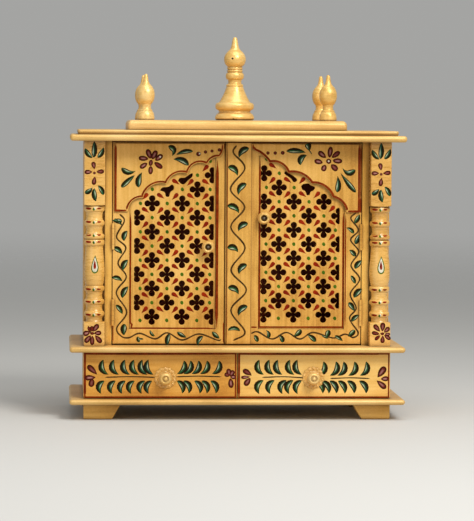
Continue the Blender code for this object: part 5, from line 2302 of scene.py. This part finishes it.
@dataclass
class Studio:
    """Camera, lights, world and floor."""

    camera_place: Place = (-0.32, -5.35, 0.5504)
    yaw_degrees: float = 3.487
    pitch_degrees: float = 2.85
    roll_degrees: float = 0.341
    focal_pixels: float = 2884.6
    picture_height: float = 521.0
    sensor: float = 36.0
    aim: Place = (0.0, -0.05, 0.33)
    background: Colour = (0.60, 0.60, 0.585)
    background_strength: float = 0.62
    floor_rings: tuple[float, ...] = (0.0, 1.0, 3.0, 6.0, 12.0)

    def camera(self) -> None:
        """Set up the camera: its axes come from yaw, pitch and roll."""
        yaw, pitch = math.radians(self.yaw_degrees), math.radians(self.pitch_degrees)
        roll, flat = math.radians(self.roll_degrees), math.cos(pitch)
        forward = Vector((math.sin(yaw) * flat, math.cos(yaw) * flat, -math.sin(pitch)))
        level = Vector((math.cos(yaw), -math.sin(yaw), 0.0))
        up = level.cross(forward)
        right = level * math.cos(roll) + up * math.sin(roll)
        top = up * math.cos(roll) - level * math.sin(roll)
        data = bpy.data.cameras.new("photo_camera")
        data.sensor_width = self.sensor
        data.lens = self.focal_pixels * self.sensor / self.picture_height
        data.clip_end = 60.0
        camera = placed("photo_camera", data)
        turn = Matrix((right, top, -forward)).transposed().to_4x4()
        camera.matrix_world = Matrix.Translation(self.camera_place) @ turn
        bpy.context.scene.camera = camera

    def softbox(self, name: str, place: Place, size: float, power: float, colour: Colour) -> None:
        """Add one square soft light that looks at the cabinet.

        Args:
            name: Name of the light.
            place: Where it stands.
            size: Length of its side.
            power: Power in watts.
            colour: Its colour.
        """
        data = bpy.data.lights.new(name, "AREA")
        data.size = size
        data.energy = power
        data.color = colour
        way = (Vector(self.aim) - Vector(place)).to_track_quat("-Z", "Y").to_matrix().to_4x4()
        placed(name, data).matrix_world = Matrix.Translation(place) @ way

    def lights(self) -> None:
        """Add the lights and the even pale surroundings."""
        self.softbox("key_light", (1.30, -2.60, 2.55), 1.1, 92.0, (1.0, 0.97, 0.92))
        self.softbox("fill_light", (-2.30, -3.00, 1.30), 2.0, 14.0, (1.0, 0.98, 0.95))
        self.softbox("top_light", (0.20, -0.90, 2.70), 1.6, 30.0, (1.0, 0.98, 0.95))
        world = bpy.data.worlds.new("studio_world")
        world.use_nodes = True
        surround = world.node_tree.nodes["Background"]
        surround.inputs["Color"].default_value = (*self.background, 1.0)
        surround.inputs["Strength"].default_value = self.background_strength
        bpy.context.scene.world = world

    def floor(self) -> None:
        """Lay a large round floor."""
        profile = np.column_stack([self.floor_rings, np.zeros(len(self.floor_rings))])
        shell = Shell()
        shell.grid(turn_round(profile, full_turn(64)))
        floor = shell.build("studio_floor")
        floor.data.materials.append(StudioFloor(colour=self.background).make())

    def build(self) -> None:
        """Set the whole studio up."""
        bpy.context.scene.view_settings.view_transform = "Standard"
        self.camera()
        self.lights()
        self.floor()


def main() -> None:
    """Build the studio and dress the cabinet, one sub-assembly after another."""
    logging.basicConfig(level=logging.INFO, format="%(message)s")
    Studio().build()
    palette = Palette()
    Carcass(palette).build()
    Finials(palette).build()
    for side, flower in ((Side.LEFT, LEFT_COLUMN_FLOWER), (Side.RIGHT, RIGHT_COLUMN_FLOWER)):
        Column(side, palette, flower).build()
        for level in Level:
            Hinge(side, level, palette).build()
    Door(Side.LEFT, palette, LEFT_LEAFING, LEFT_ARCH, LEFT_FIRST_CELL, LEFT_CUT_HOLES, (11, 1)).build()
    Door(Side.RIGHT, palette, RIGHT_LEAFING, RIGHT_ARCH, RIGHT_FIRST_CELL, RIGHT_CUT_HOLES).build()
    MiddleStrip(palette).build()
    Drawer(Side.LEFT, palette, LEFT_DRAWER_LEAFING).build()
    Drawer(Side.RIGHT, palette, RIGHT_DRAWER_LEAFING).build()


if __name__ == "__main__":
    main()
